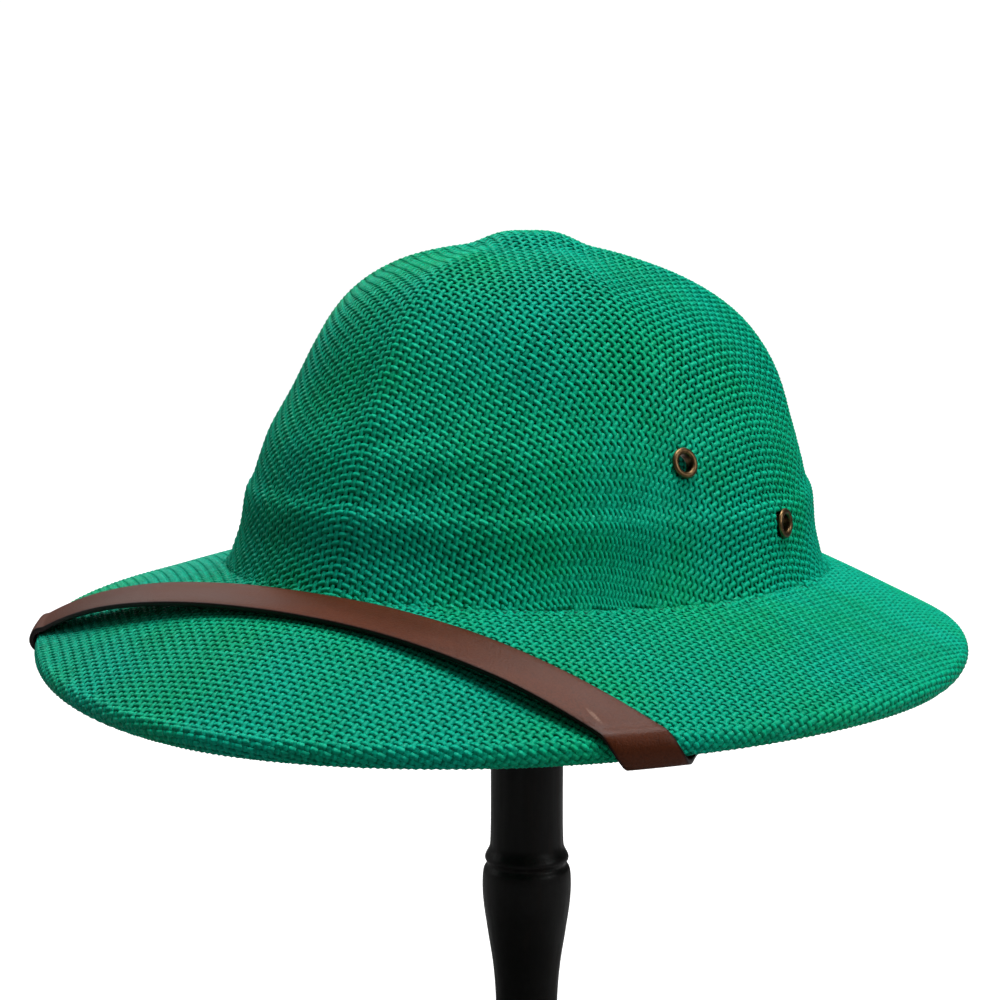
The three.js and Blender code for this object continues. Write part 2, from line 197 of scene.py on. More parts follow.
@dataclass(frozen=True)
class PaperStraw:
    """Dyed paper straw: paper ribbon twisted to a yarn and glazed, so each float has a soft gloss."""

    teal: str = "#02A98A"
    green: str = "#03A674"
    pale: str = "#12B995"
    # A darker tone of the dye, also used as painted shade in the twist's grooves.
    deep_tone_and_groove_shade: str = "#026A50"
    # Painted shade for the low places of the under layer's drawn weave.
    hollow_shade: str = "#014A38"
    roughness: float = 0.5
    twist_pitch: float = 0.0016
    patch: float = 0.045
    speckle_size: float = 0.0011
    fibre_size: float = 0.0008
    twist_relief: float = 0.00009
    weave_relief: float = 0.0006

    def colour(self, tree: bpy.types.NodeTree, place: object, shade: object) -> bpy.types.NodeSocket:
        """Mix the dye's colour, which drifts between teal and green over the cloth.

        Args:
            tree: The node tree.
            place: Object coordinates.
            shade: The yarn's own shade from 0 to 1.

        Returns:
            The colour's socket.
        """
        drift = remap(tree, noise(tree, place, 1 / self.patch, 3), 0.38, 0.62, 0, 1)
        dyed = blend_colours(tree, drift, linear(self.teal), linear(self.green))
        lighter = blend_colours(tree, remap(tree, shade, 0.6, 1, 0, 0.6), dyed, linear(self.pale))
        return blend_colours(tree, remap(tree, shade, 0, 0.4, 0.45, 0), lighter, linear(self.deep_tone_and_groove_shade))

    def yarn(self) -> bpy.types.Material:
        """Make the yarn's material, whose twist follows the yarn's own UV map, with painted shade in the
        twist's grooves.

        Returns:
            The material.
        """
        material, tree = new_material("twisted_paper_straw")
        place = add_node(tree, "ShaderNodeTexCoord").outputs["Object"]
        yarn_map = add_node(tree, "ShaderNodeUVMap", uv_map="yarn").outputs[0]
        split = add_node(tree, "ShaderNodeSeparateXYZ", {0: yarn_map})
        shade = add_node(tree, "ShaderNodeAttribute", attribute_name="shade").outputs["Fac"]
        turns = maths(tree, "DIVIDE", split.outputs[0], self.twist_pitch)
        phase = maths(tree, "MULTIPLY", maths(tree, "ADD", turns, split.outputs[1]), math.tau)
        strands = maths(tree, "MULTIPLY_ADD", maths(tree, "SINE", phase), 0.5, 0.5)
        # The fibres are about a millimetre long, nine to a turn round the yarn.
        fibres = noise(tree, stretched(tree, yarn_map, (900, 9, 1)), 1.0, 3, 0.6)
        height = maths(tree, "MULTIPLY_ADD", strands, 0.7, maths(tree, "MULTIPLY", fibres, 0.5))
        speckle = noise(tree, place, 1 / self.speckle_size, 1)
        mottled = maths(tree, "ADD", shade, remap(tree, speckle, 0.3, 0.7, -0.2, 0.2))
        base = self.colour(tree, place, mottled)
        # Painted shade: the twist's low places between the strands are darkened towards the deep colour.
        groove_shaded = blend_colours(tree, remap(tree, height, 0.1, 0.6, 0.35, 0), base, linear(self.deep_tone_and_groove_shade))
        gloss = remap(tree, speckle, 0.58, 0.7, self.roughness, 0.16)
        inputs = {"Base Color": groove_shaded, "Roughness": gloss, "IOR": 1.48, "Specular IOR Level": 0.06}
        surface(tree, inputs, height, self.twist_relief)
        return material

    def backing(self, pitch: float) -> bpy.types.Material:
        """Make the under layer's material, a plain weave drawn from its UV map, with painted shade in the
        weave's hollows.

        Args:
            pitch: The distance between yarns, in metres.

        Returns:
            The material.
        """
        material, tree = new_material("woven_paper_straw")
        place = add_node(tree, "ShaderNodeTexCoord").outputs["Object"]
        cloth = add_node(tree, "ShaderNodeUVMap", uv_map="cloth").outputs[0]
        split = add_node(tree, "ShaderNodeSeparateXYZ", {0: cloth})
        waves = [
            maths(tree, "SINE", maths(tree, "MULTIPLY", split.outputs[axis], math.pi / pitch))
            for axis in (0, 1)
        ]
        crossing = maths(tree, "MULTIPLY", waves[0], waves[1])
        warp = maths(tree, "ADD", maths(tree, "ABSOLUTE", waves[0]), crossing)
        weft = maths(tree, "SUBTRACT", maths(tree, "ABSOLUTE", waves[1]), crossing)
        height = maths(tree, "MULTIPLY", maths(tree, "MAXIMUM", warp, weft), 0.5)
        fibres = noise(tree, place, 1 / self.fibre_size, 2)
        base = self.colour(tree, place, maths(tree, "MULTIPLY_ADD", fibres, 0.8, 0.1))
        # Painted shade: the low places between the drawn yarns are darkened towards the hollow colour.
        sunk_shade = remap(tree, height, 0.25, 0.6, 1, 0)
        woven = blend_colours(tree, sunk_shade, base, linear(self.hollow_shade))
        inputs = {"Base Color": woven, "Roughness": 0.6, "IOR": 1.48, "Specular IOR Level": 0.1}
        surface(tree, inputs, height, self.weave_relief)
        return material


@dataclass(frozen=True)
class WaxedLeather:
    """Cowhide strap, dyed through and waxed: a smooth face, fine grain and dark edges, burnished and also
    darkened as painted shade on the strap's sides.
    """

    face: str = "#4E2410"
    red: str = "#5C2C16"
    edge: str = "#1A0C08"
    scuff: str = "#A88672"
    scuff_half_length: float = 0.0042
    scuff_half_width: float = 0.0005
    scuff_slant: float = 0.2
    # How far in from the face's edge the dark edge band starts and where it is full: burnish, and painted
    # shade on the sides.
    burnish_and_shade_band: tuple[float, float] = (0.0007, 0.0001)
    grain: float = 0.0007
    grain_relief: float = 0.00012
    roughness: float = 0.36

    def material(self, scuff_at: tuple[float, float], reach: float) -> bpy.types.Material:
        """Make the leather from the strap's own UV map.

        Args:
            scuff_at: Where the small scuff lies on the strap: along and across, in metres.
            reach: How far across the strap's face goes from its middle, in metres.

        Returns:
            The material.
        """
        material, tree = new_material("waxed_cowhide")
        place = add_node(tree, "ShaderNodeTexCoord").outputs["Object"]
        strap_map = add_node(tree, "ShaderNodeUVMap", uv_map="strap").outputs[0]
        split = add_node(tree, "ShaderNodeSeparateXYZ", {0: strap_map})
        grain = noise(tree, place, 1 / self.grain, 4, 0.65)
        # The dye's clouds are about 56 mm long and 14 mm wide.
        clouds = noise(tree, stretched(tree, strap_map, (18, 70, 1)), 1.0, 3)
        dyed = blend_colours(tree, remap(tree, clouds, 0.35, 0.65, 0, 1), linear(self.face), linear(self.red))
        fine = blend_colours(tree, remap(tree, grain, 0.35, 0.6, 0.3, 0), dyed, linear(self.edge))
        across = maths(tree, "ABSOLUTE", split.outputs[1])
        # The dark edge band: a burnished edge finish, made darker as painted shade on the strap's rounded
        # edges and sides.
        rim = remap(tree, across, reach - self.burnish_and_shade_band[0], reach - self.burnish_and_shade_band[1], 0, 1)
        burnished_and_shaded = blend_colours(tree, rim, fine, linear(self.edge))
        spot = maths(tree, "SUBTRACT", split.outputs[0], scuff_at[0])
        side = maths(tree, "SUBTRACT", split.outputs[1], scuff_at[1])
        slanted = maths(tree, "MULTIPLY_ADD", spot, self.scuff_slant, side)
        sizes = ((slanted, self.scuff_half_width), (spot, self.scuff_half_length))
        squares = [maths(tree, "POWER", maths(tree, "DIVIDE", away, size), 2.0) for away, size in sizes]
        far = maths(tree, "ADD", *squares)
        broken = remap(tree, grain, 0.38, 0.55, 0.2, 1)
        scuffed = maths(tree, "MULTIPLY", remap(tree, far, 0.1, 1.2, 0.45, 0), broken)
        worn = blend_colours(tree, scuffed, burnished_and_shaded, linear(self.scuff))
        gloss = remap(tree, clouds, 0.3, 0.7, self.roughness - 0.06, self.roughness + 0.08)
        inputs = {"Base Color": worn, "Roughness": gloss, "IOR": 1.5, "Specular IOR Level": 0.12}
        surface(tree, inputs, grain, self.grain_relief)
        return material


@dataclass(frozen=True)
class AntiqueBrass:
    """Brass sheet, stamped and darkened with an antique wash that has rubbed off the high edges."""

    metal: str = "#806646"
    wash: str = "#2A1E13"
    patch: float = 0.0016
    patch_relief: float = 0.00003
    roughness: float = 0.34

    def material(self) -> bpy.types.Material:
        """Make the brass, with its wash in patches and on the flanks.

        Returns:
            The material.
        """
        material, tree = new_material("antique_brass")
        place = add_node(tree, "ShaderNodeTexCoord").outputs["Object"]
        patches = noise(tree, place, 1 / self.patch, 4, 0.6)
        pointiness = add_node(tree, "ShaderNodeNewGeometry").outputs["Pointiness"]
        raised = remap(tree, pointiness, 0.49, 0.56, 0, 0.55)
        rubbed = maths(tree, "ADD", raised, remap(tree, patches, 0.35, 0.65, 0.1, 0.6))
        colour = blend_colours(tree, rubbed, linear(self.wash), linear(self.metal))
        gloss = remap(tree, patches, 0.3, 0.7, self.roughness + 0.12, self.roughness)
        inputs = {"Base Color": colour, "Metallic": 1.0, "Roughness": gloss}
        surface(tree, inputs, patches, self.patch_relief)
        return material


@dataclass(frozen=True)
class EbonisedBeech:
    """Turned beech stained black: the stain leaves faint brown streaks along the grain."""

    stain: str = "#0A0908"
    bare: str = "#241812"
    grain_relief: float = 0.00008
    roughness: float = 0.45

    def material(self) -> bpy.types.Material:
        """Make the wood, with its grain along the stand's axis.

        Returns:
            The material.
        """
        material, tree = new_material("ebonised_beech")
        place = add_node(tree, "ShaderNodeTexCoord").outputs["Object"]
        # The grain's streaks are 2.4 mm wide and 45 mm long, and the lathe left rings 0.7 mm apart.
        streaks = noise(tree, stretched(tree, place, (420, 420, 22)), 1.0, 5, 0.65)
        clouds = noise(tree, stretched(tree, place, (60, 60, 22)), 1.0, 3)
        streaky = remap(tree, streaks, 0.5, 0.75, 0, 1)
        patchy = remap(tree, clouds, 0.4, 0.65, 0, 1)
        shown = maths(tree, "MULTIPLY", streaky, patchy)
        colour = blend_colours(tree, shown, linear(self.stain), linear(self.bare))
        rings = noise(tree, stretched(tree, place, (30, 30, 1500)), 1.0, 2)
        height = maths(tree, "MULTIPLY_ADD", rings, 0.4, streaks)
        gloss = remap(tree, streaks, 0.3, 0.7, self.roughness - 0.1, self.roughness + 0.12)
        inputs = {"Base Color": colour, "Roughness": gloss, "IOR": 1.5, "Specular IOR Level": 0.2}
        surface(tree, inputs, height, self.grain_relief)
        return material


# The helmet's form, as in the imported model


@dataclass(frozen=True)
class Level:
    """One level of the crown: height above the fold, half length, and centre behind the axis."""

    height: float
    reach: float
    lean: float


CROWN_LEVELS = (
    Level(0.1023, 0, -0.003),
    Level(0.1020, 0.009, -0.0035),
    Level(0.1012, 0.0185, -0.0045),
    Level(0.0998, 0.0285, -0.0055),
    Level(0.097, 0.0406, -0.006),
    Level(0.092, 0.054, -0.0032),
    Level(0.086, 0.0647, 0),
    Level(0.079, 0.0732, 0.0028),
    Level(0.071, 0.0798, 0.0046),
    Level(0.062, 0.0852, 0.0053),
    Level(0.052, 0.0898, 0.0042),
    Level(0.042, 0.0935, 0.0024),
    Level(0.033, 0.0966, 0.0018),
    Level(0.028, 0.0982, 0.0015),
    Level(0.024, 0.1005, 0.0014),
    Level(0.012, 0.1024, 0.0007),
    Level(0.006, 0.1042, 0.0002),
    Level(0.002, 0.1057, 0),
)
BRIM_SHARES = (0.14, 0.4, 0.7)
LIP_TURNS = (8, 50, 95, 140, 185, 215)
FOLD_STATION = len(CROWN_LEVELS)
LIP_STATION = FOLD_STATION + 1 + len(BRIM_SHARES)
LAST_STATION = LIP_STATION + len(LIP_TURNS) - 1


def smooth_step(value: Array, low: float, high: float) -> Array:
    """Rise smoothly from 0 at low to 1 at high."""
    share = np.clip((value - low) / (high - low), 0, 1)
    return share * share * (3 - 2 * share)


def unit(vectors: Array) -> Array:
    """Scale vectors to length 1."""
    return vectors / np.maximum(np.linalg.norm(vectors, axis=-1, keepdims=True), 1e-12)


def run_length(points: Array) -> Array:
    """Give how far along its line each point lies."""
    return np.concatenate([[0], np.cumsum(np.linalg.norm(np.diff(points, axis=0), axis=1))])


def even_angles(end: float, steps: int) -> list[float]:
    """Give evenly spaced angles from 0 to an end, both included."""
    return [end * step / steps for step in range(steps + 1)]


def shares_of(miss: Array, first: Array, second: Array, least: float = 1e-12) -> tuple[Array, Array]:
    """Find how much of two plane directions makes up each miss, for a step of Newton's method.

    Args:
        miss: What is still missing at each place, two numbers each.
        first: The first direction at each place.
        second: The second direction at each place.
        least: The smallest area between the directions that is divided by.

    Returns:
        The share of the first direction and of the second.
    """
    area = first[..., 0] * second[..., 1] - first[..., 1] * second[..., 0]
    area = np.where(np.abs(area) < least, least, area)
    of_first = (miss[..., 0] * second[..., 1] - miss[..., 1] * second[..., 0]) / area
    of_second = (first[..., 0] * miss[..., 1] - first[..., 1] * miss[..., 0]) / area
    return of_first, of_second


def spline_rows(rows: Array, steps: int) -> Array:
    """Run a centripetal spline through rows of points.

    Args:
        rows: Points, with the rows along the first axis.
        steps: New rows for each old one.

    Returns:
        The finer rows, first and last included.
    """
    padded = np.concatenate([[2 * rows[0] - rows[1]], rows, [2 * rows[-1] - rows[-2]]])
    knots = [np.maximum(np.linalg.norm(b - a, axis=-1) ** 0.5, 1e-7)[..., None]
             for a, b in zip(padded, padded[1:])]
    finer = []
    for i in range(len(rows) - 1):
        p0, p1, p2, p3 = padded[i : i + 4]
        d1, d2, d3 = knots[i : i + 3]
        t1, t2, t3 = d1, d1 + d2, d1 + d2 + d3
        for step in range(steps):
            t = t1 + d2 * step / steps
            a1 = ((t1 - t) * p0 + t * p1) / t1
            a2 = ((t2 - t) * p1 + (t - t1) * p2) / (t2 - t1)
            a3 = ((t3 - t) * p2 + (t - t2) * p3) / (t3 - t2)
            b1 = ((t2 - t) * a1 + t * a2) / t2
            b2 = ((t3 - t) * a2 + (t - t1) * a3) / (t3 - t1)
            finer.append(((t2 - t) * b1 + (t - t1) * b2) / (t2 - t1))
    finer.append(rows[-1])
    return np.stack(finer)


@dataclass(frozen=True)
class Sheet:
    """A face of the helmet as a table over station and angle, read between its entries."""

    table: Array
    per_station: int

    def at(self, angle: Array, station: Array) -> Array:
        """Read the table at angles from the front and stations from the crown's top.

        Args:
            angle: Angles round the helmet, in radians.
            station: Stations, of the same shape.

        Returns:
            What the table holds there, between its entries in a straight line.
        """
        rows, columns = self.table.shape[:2]
        row = np.clip(station * self.per_station, 0, rows - 1.001)
        column = np.mod(angle / math.tau, 1.0) * columns
        low_row, low_column = row.astype(int), np.minimum(column.astype(int), columns - 1)
        down, along = (row - low_row)[..., None], (column - low_column)[..., None]
        next_column = (low_column + 1) % columns
        upper, lower = [
            self.table[line, low_column] * (1 - along) + self.table[line, next_column] * along
            for line in (low_row, low_row + 1)
        ]
        return upper * (1 - down) + lower * down


@dataclass(frozen=True)
class HelmetForm:
    """The helmet's outer face: a crown with six soft ridges, a fold, a brim and its rolled lip."""

    fold_height: float = 0.200
    back: float = 0.002
    length_to_width: float = 1.17
    crown_height: float = 0.1023
    fold_tilt: float = 0.0046
    fold_wave: float = 0.0007
    fold_reach: float = 0.1072
    brim_bow: float = 0.0004
    front_bow: float = 0.003
    lip_radius: float = 0.0045
    crown_wall: float = 0.0022
    brim_wall: float = 0.003
    rim_front: float = 0.1432
    rim_rear: float = 0.156
    rim_half_width: float = 0.1449
    rim_ahead: float = 0.0199
    rim_roundness: float = 1.86
    front_drop: float = 0.0254
    side_drop: float = 0.0218
    rear_drop: float = 0.0255
    ridge_angles: tuple[int, ...] = (0, 65, 115, 180, 245, 295)
    ridge_height: float = 0.0016
    ridge_half_width: float = 0.008
    ridge_sink: float = 0.8
    ridge_gone: float = 0.040
    ridge_full: float = 0.058
    ridge_meet: float = 0.034
    button_height: float = 0.003
    button_flat: float = 0.007
    button_foot: float = 0.021
    button_ahead: float = 0.001
    per_station: int = 12
    columns: int = 720

    def crown(self, level: Level, angle: Array) -> Array:
        """Give the points of one level of the crown, at angles from the front.

        Args:
            level: The crown's level.
            angle: Angles round the helmet, in radians.

        Returns:
            The level's points, in the helmet's own frame.
        """
        along = np.cos(angle)
        climb = self.fold_tilt * along + self.fold_wave * np.cos(2 * angle)
        return np.stack(
            [
                level.reach / self.length_to_width * np.sin(angle),
                -level.reach * along + level.lean,
                level.height + climb * (1 - level.height / self.crown_height),
            ],
            axis=-1,
        )

    def fold(self, angle: Array) -> Array:
        """Give the points of the fold between crown and brim."""
        return self.crown(Level(0, self.fold_reach, 0), angle)

    def rim(self, angle: Array) -> Array:
        """Give the centres of the rolled lip's circle.

        Args:
            angle: Angles round the helmet, in radians.

        Returns:
            The centres, in the helmet's own frame.
        """
        along, across = np.cos(angle), np.sin(angle)
        power = 2 / self.rim_roundness
        half = np.where(along > 0, self.rim_front, self.rim_rear)
        end_drop = np.where(along > 0, self.front_drop, self.rear_drop)
        return np.stack(
            [
                self.rim_half_width * np.sign(across) * np.abs(across) ** power,
                -half * np.sign(along) * np.abs(along) ** power - self.rim_ahead,
                -(self.side_drop + (end_drop - self.side_drop) * along**2),
            ],
            axis=-1,
        )

    def smooth_rows(self, angle: Array) -> Array:
        """Give the outer face without its ridges, as rows from the top to the lip's end.

        Args:
            angle: Angles round the helmet, in radians.

        Returns:
            The rows, a few to each station.
        """
        fold, rim = self.fold(angle), self.rim(angle)
        outward = rim - fold
        outward[..., 2] = 0
        outward = unit(outward)
        rows = [self.crown(level, angle) for level in CROWN_LEVELS] + [fold]
        bow = self.brim_bow + self.front_bow * np.maximum(np.cos(angle), 0) ** 2
        for share in BRIM_SHARES:
            row = fold + (rim - fold) * share
            row[..., 2] += self.lip_radius * share + bow * math.sin(math.pi * share)
            rows.append(row)
        for turn in LIP_TURNS:
            bend = math.radians(turn)
            row = rim + outward * self.lip_radius * math.sin(bend)
            row[..., 2] += self.lip_radius * math.cos(bend)
            rows.append(row)
        return spline_rows(np.stack(rows), self.per_station)

    def angles(self) -> Array:
        """Give the table's angles, once round the helmet."""
        return np.arange(self.columns) * math.tau / self.columns

    @staticmethod
    def normals(rows: Array) -> Array:
        """Work out the outward directions of a table of points.

        Args:
            rows: The points, over station and angle.

        Returns:
            Directions of length 1, straight up at the crown's top.
        """
        down = np.gradient(rows, axis=0)
        around = np.roll(rows, -1, axis=1) - np.roll(rows, 1, axis=1)
        found = unit(np.cross(down, around))
        found[0] = (0, 0, 1)
        return found

    def outward(self, face: Sheet) -> Sheet:
        """Make the table of a face's outward directions."""
        return Sheet(self.normals(face.table), face.per_station)

    def relief(self, rows: Array) -> Array:
        """Work out how far the ridges, the button and the creases stand out of the smooth crown.

        Args:
            rows: The smooth outer face's points, over station and angle.

        Returns:
            Heights above the smooth face, which are 0 on the brim.
        """
        station = np.arange(len(rows)) / self.per_station
        levels = np.arange(FOLD_STATION)
        height = np.interp(station, levels, [level.height for level in CROWN_LEVELS])[:, None]
        reach = np.interp(station, levels, [level.reach for level in CROWN_LEVELS])[:, None]
        angle = self.angles()[None, :]
        fade = smooth_step(height, self.ridge_gone, self.ridge_full) * smooth_step(reach, 0, self.ridge_meet)
        away = [np.arccos(np.cos(angle - math.radians(ridge))) for ridge in self.ridge_angles]
        nearest = np.min(away, axis=0)
        ridge = np.exp(-((nearest * reach / self.ridge_half_width) ** 2)) - self.ridge_sink
        from_button = np.hypot(rows[..., 0], rows[..., 1] + self.button_ahead)
        button = 1 - smooth_step(from_button, self.button_flat, self.button_foot)
        on_top = height > self.crown_height / 2
        raised = self.ridge_height * fade * ridge + self.button_height * button * on_top
        for crease in CREASES:
            raised = raised - crease.depth_at(rows)
        return np.where(station[:, None] < FOLD_STATION, raised, 0)

    def smooth(self) -> Sheet:
        """Make the table of the outer face without its ridges."""
        return Sheet(self.smooth_rows(self.angles()), self.per_station)

    def shaped(self) -> Sheet:
        """Make the table of the outer face with its ridges, button and creases."""
        rows = self.smooth_rows(self.angles())
        return Sheet(rows + self.normals(rows) * self.relief(rows)[..., None], self.per_station)

    def wall(self, station: Array) -> Array:
        """Give the wall's thickness, which grows from crown to brim."""
        on_brim = smooth_step(station, FOLD_STATION - 3, FOLD_STATION + 1)
        return self.crown_wall + (self.brim_wall - self.crown_wall) * on_brim

    def in_frame(self, points: Array) -> Array:
        """Move points from the helmet's own centre into the row frame."""
        return points + np.array([0, self.back, self.fold_height])


@dataclass(frozen=True)
class Crease:
    """A shallow crease that handling has pressed into the crown, between two of its points."""

    start: tuple[float, float, float]
    end: tuple[float, float, float]
    depth: float
    half_width: float

    def depth_at(self, points: Array) -> Array:
        """Give how deep the crease is at points of the crown.

        Args:
            points: Points in the helmet's own frame.

        Returns:
            The depth at each point, fading out at the crease's sides and ends.
        """
        start, along = np.array(self.start), np.array(self.end) - np.array(self.start)
        share = np.clip((points - start) @ along / (along @ along), 0, 1)
        away = np.linalg.norm(points - start - share[..., None] * along, axis=-1)
        return self.depth * np.exp(-((away / self.half_width) ** 2)) * np.sin(np.pi * (0.15 + 0.7 * share))


CREASES = (
    Crease((0.0209, -0.0826, 0.0540), (0.0010, -0.0898, 0.0477), 0.0009, 0.0032),
    Crease((0.0364, -0.0823, 0.0418), (0.0162, -0.0935, 0.0348), 0.0008, 0.0034),
)


# Mesh helpers


def dress(
    piece: bpy.types.Object, material: bpy.types.Material, slot: Slot, nodes: Sequence[str]
) -> bpy.types.Object:
    """Give a piece its material and its body, and hide the CAD nodes that it replaces.

    Args:
        piece: The new object.
        material: Its material.
        slot: Not used.
        nodes: The CAD nodes that it replaces.

    Returns:
        The piece.
    """
    piece.data.materials.clear()
    piece.data.materials.append(material)
    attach(piece, BODY)
    if nodes:
        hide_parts(*nodes)
    mesh = piece.data
    triangles = sum(len(polygon.vertices) - 2 for polygon in mesh.polygons)
    LOG.info("%s: %d triangles before modifiers", piece.name, triangles)
    return piece


def in_scene(name: str, data: bpy.types.ID) -> bpy.types.Object:
    """Make an object of a mesh, a lamp or a camera and put it in the scene.

    Args:
        name: The object's name.
        data: The mesh, lamp or camera.

    Returns:
        The object.
    """
    made = bpy.data.objects.new(name, data)
    bpy.context.scene.collection.objects.link(made)
    return made


def object_from(shape: bmesh.types.BMesh, name: str) -> bpy.types.Object:
    """Make a smooth-shaded object from a bmesh and free the bmesh.

    Args:
        shape: The bmesh, which can't be used again.
        name: The object's name.

    Returns:
        The object, already in the scene.
    """
    mesh = bpy.data.meshes.new(name)
    shape.to_mesh(mesh)
    shape.free()
    mesh.shade_smooth()
    return in_scene(name, mesh)


def flat_grid(rows: int, columns: int) -> tuple[bmesh.types.BMesh, dict[bmesh.types.BMVert, tuple[int, int]]]:
    """Make a flat grid to be bent into a sheet.

    Args:
        rows: How many cells there are from its first row of points to its last.
        columns: How many cells there are across.

    Returns:
        The grid, and the row and column of each of its points.
    """
    shape = bmesh.new()
    bmesh.ops.create_grid(shape, x_segments=columns, y_segments=rows, size=0.5)
    marks = {}
    for vert in shape.verts:
        marks[vert] = (round((vert.co.y + 0.5) * rows), round((vert.co.x + 0.5) * columns))
    return shape, marks


def spun(profile: Sequence[tuple[float, float]], steps: int, closed: bool) -> bmesh.types.BMesh:
    """Spin a profile round the upright axis.

    Args:
        profile: Radius and height of each point.
        steps: Facets round the axis.
        closed: Whether the profile's last point joins its first.

    Returns:
        The spun shape, with its normals outwards.
    """
    shape = bmesh.new()
    points = [shape.verts.new((radius, 0, height)) for radius, height in profile]
    pairs = list(zip(points, points[1:])) + ([(points[-1], points[0])] if closed else [])
    edges = [shape.edges.new(pair) for pair in pairs]
    bmesh.ops.spin(shape, geom=points + edges, cent=(0, 0, 0), axis=(0, 0, 1), dvec=(0, 0, 0),
                   angle=math.tau, steps=steps, use_merge=True, use_duplicate=False)
    bmesh.ops.remove_doubles(shape, verts=shape.verts, dist=1e-6)
    bmesh.ops.recalc_face_normals(shape, faces=shape.faces)
    return shape


def place_along(shape: bmesh.types.BMesh, point: Vector, direction: Vector) -> None:
    """Turn a shape made about +Z along a direction and move it to a point."""
    turn = Vector((0, 0, 1)).rotation_difference(direction).to_matrix().to_4x4()
    bmesh.ops.transform(shape, matrix=Matrix.Translation(point) @ turn, verts=shape.verts)


# The woven straw

SHADE_RANGE = (0.1, 0.9)


@dataclass(frozen=True)
class Yarn:
    """The paper yarn and how the loom laid it."""

    pitch: float = 0.0023
    half_width: float = 0.0008
    half_thickness: float = 0.00029
    lift: float = 0.00029
    corners: int = 4
    shortest_run: int = 3
    free_share: float = 0.47
    least_share: float = 0.45


@dataclass
class Run:
    """One length of yarn: its centre line, the cloth's directions there and its half widths."""

    centre: Array
    normal: Array
    half_width: Array
    shade: float


@dataclass(frozen=True)
class YarnCloth:
    """Runs of yarn made into one mesh of slender tubes, a diamond in section and shaded round."""

    yarn: Yarn
    twist_shift: float = 0.37

    def piece(self, name: str, runs: list[Run]) -> bpy.types.Object:
        """Join runs of yarn into one object.

        Args:
            name: The object's name.
            runs: The lengths of yarn.

        Returns:
            The object, with the UV map "yarn" and the attribute "shade".
        """
        points, quads, along, shades, offset = [], [], [], [], 0
        corners = np.arange(self.yarn.corners)
        for run in runs:
            count = len(run.centre)
            tangent = unit(np.gradient(run.centre, axis=0))
            side = unit(np.cross(tangent, run.normal))
            up = np.cross(side, tangent)
            turn = corners * math.tau / len(corners)
            wide = side[:, None] * (run.half_width[:, None, None] * np.cos(turn)[None, :, None])
            thick = up[:, None] * (self.yarn.half_thickness * np.sin(turn)[None, :, None])
            points.append((run.centre[:, None] + wide + thick).reshape(-1, 3))
            ring = (np.arange(count - 1) * len(corners))[:, None]
            here, there = ring + corners, ring + (corners + 1) % len(corners)
            faces = np.stack([here, there, there + len(corners), here + len(corners)], axis=-1)
            last = (count - 1) * len(corners)
            caps = np.array([corners[::-1], last + corners])
            quads.append(np.concatenate([faces.reshape(-1, 4), caps]) + offset)
            along.append(np.repeat(run_length(run.centre) + self.twist_shift * run.shade, len(corners)))
            shades.append(np.full(count * len(corners), run.shade))
            offset += count * len(corners)
        return self.joined(name, np.concatenate(points), np.concatenate(quads),
                           np.concatenate(along), np.concatenate(shades))

    def joined(self, name: str, points: Array, quads: Array, along: Array, shades: Array) -> bpy.types.Object:
        """Make the object from its joined arrays.

        Args:
            name: The object's name.
            points: The corner points.
            quads: Four point numbers for each face.
            along: How far along its yarn each point lies.
            shades: Each point's own shade of the dye.

        Returns:
            The object.
        """
        mesh = bpy.data.meshes.new(name)
        mesh.vertices.add(len(points))
        mesh.loops.add(quads.size)
        mesh.polygons.add(len(quads))
        mesh.vertices.foreach_set("co", points.astype(np.float32).ravel())
        mesh.loops.foreach_set("vertex_index", quads.astype(np.int32).ravel())
        mesh.polygons.foreach_set("loop_start", np.arange(0, quads.size, 4, dtype=np.int32))
        mesh.update(calc_edges=True)
        around = (quads % self.yarn.corners) / self.yarn.corners
        wrapped = np.where((around[:, [1, 2]] == 0) & (around[:, [0, 3]] > 0.5), 1.0, around[:, [1, 2]])
        around = np.stack([around[:, 0], wrapped[:, 0], wrapped[:, 1], around[:, 3]], axis=1)
        layer = mesh.uv_layers.new(name="yarn")
        places = np.stack([along[quads], around], axis=-1)
        layer.data.foreach_set("uv", places.astype(np.float32).ravel())
        attribute = mesh.attributes.new("shade", "FLOAT", "POINT")
        attribute.data.foreach_set("value", shades.astype(np.float32))
        mesh.shade_smooth()
        mesh.validate()
        return in_scene(name, mesh)


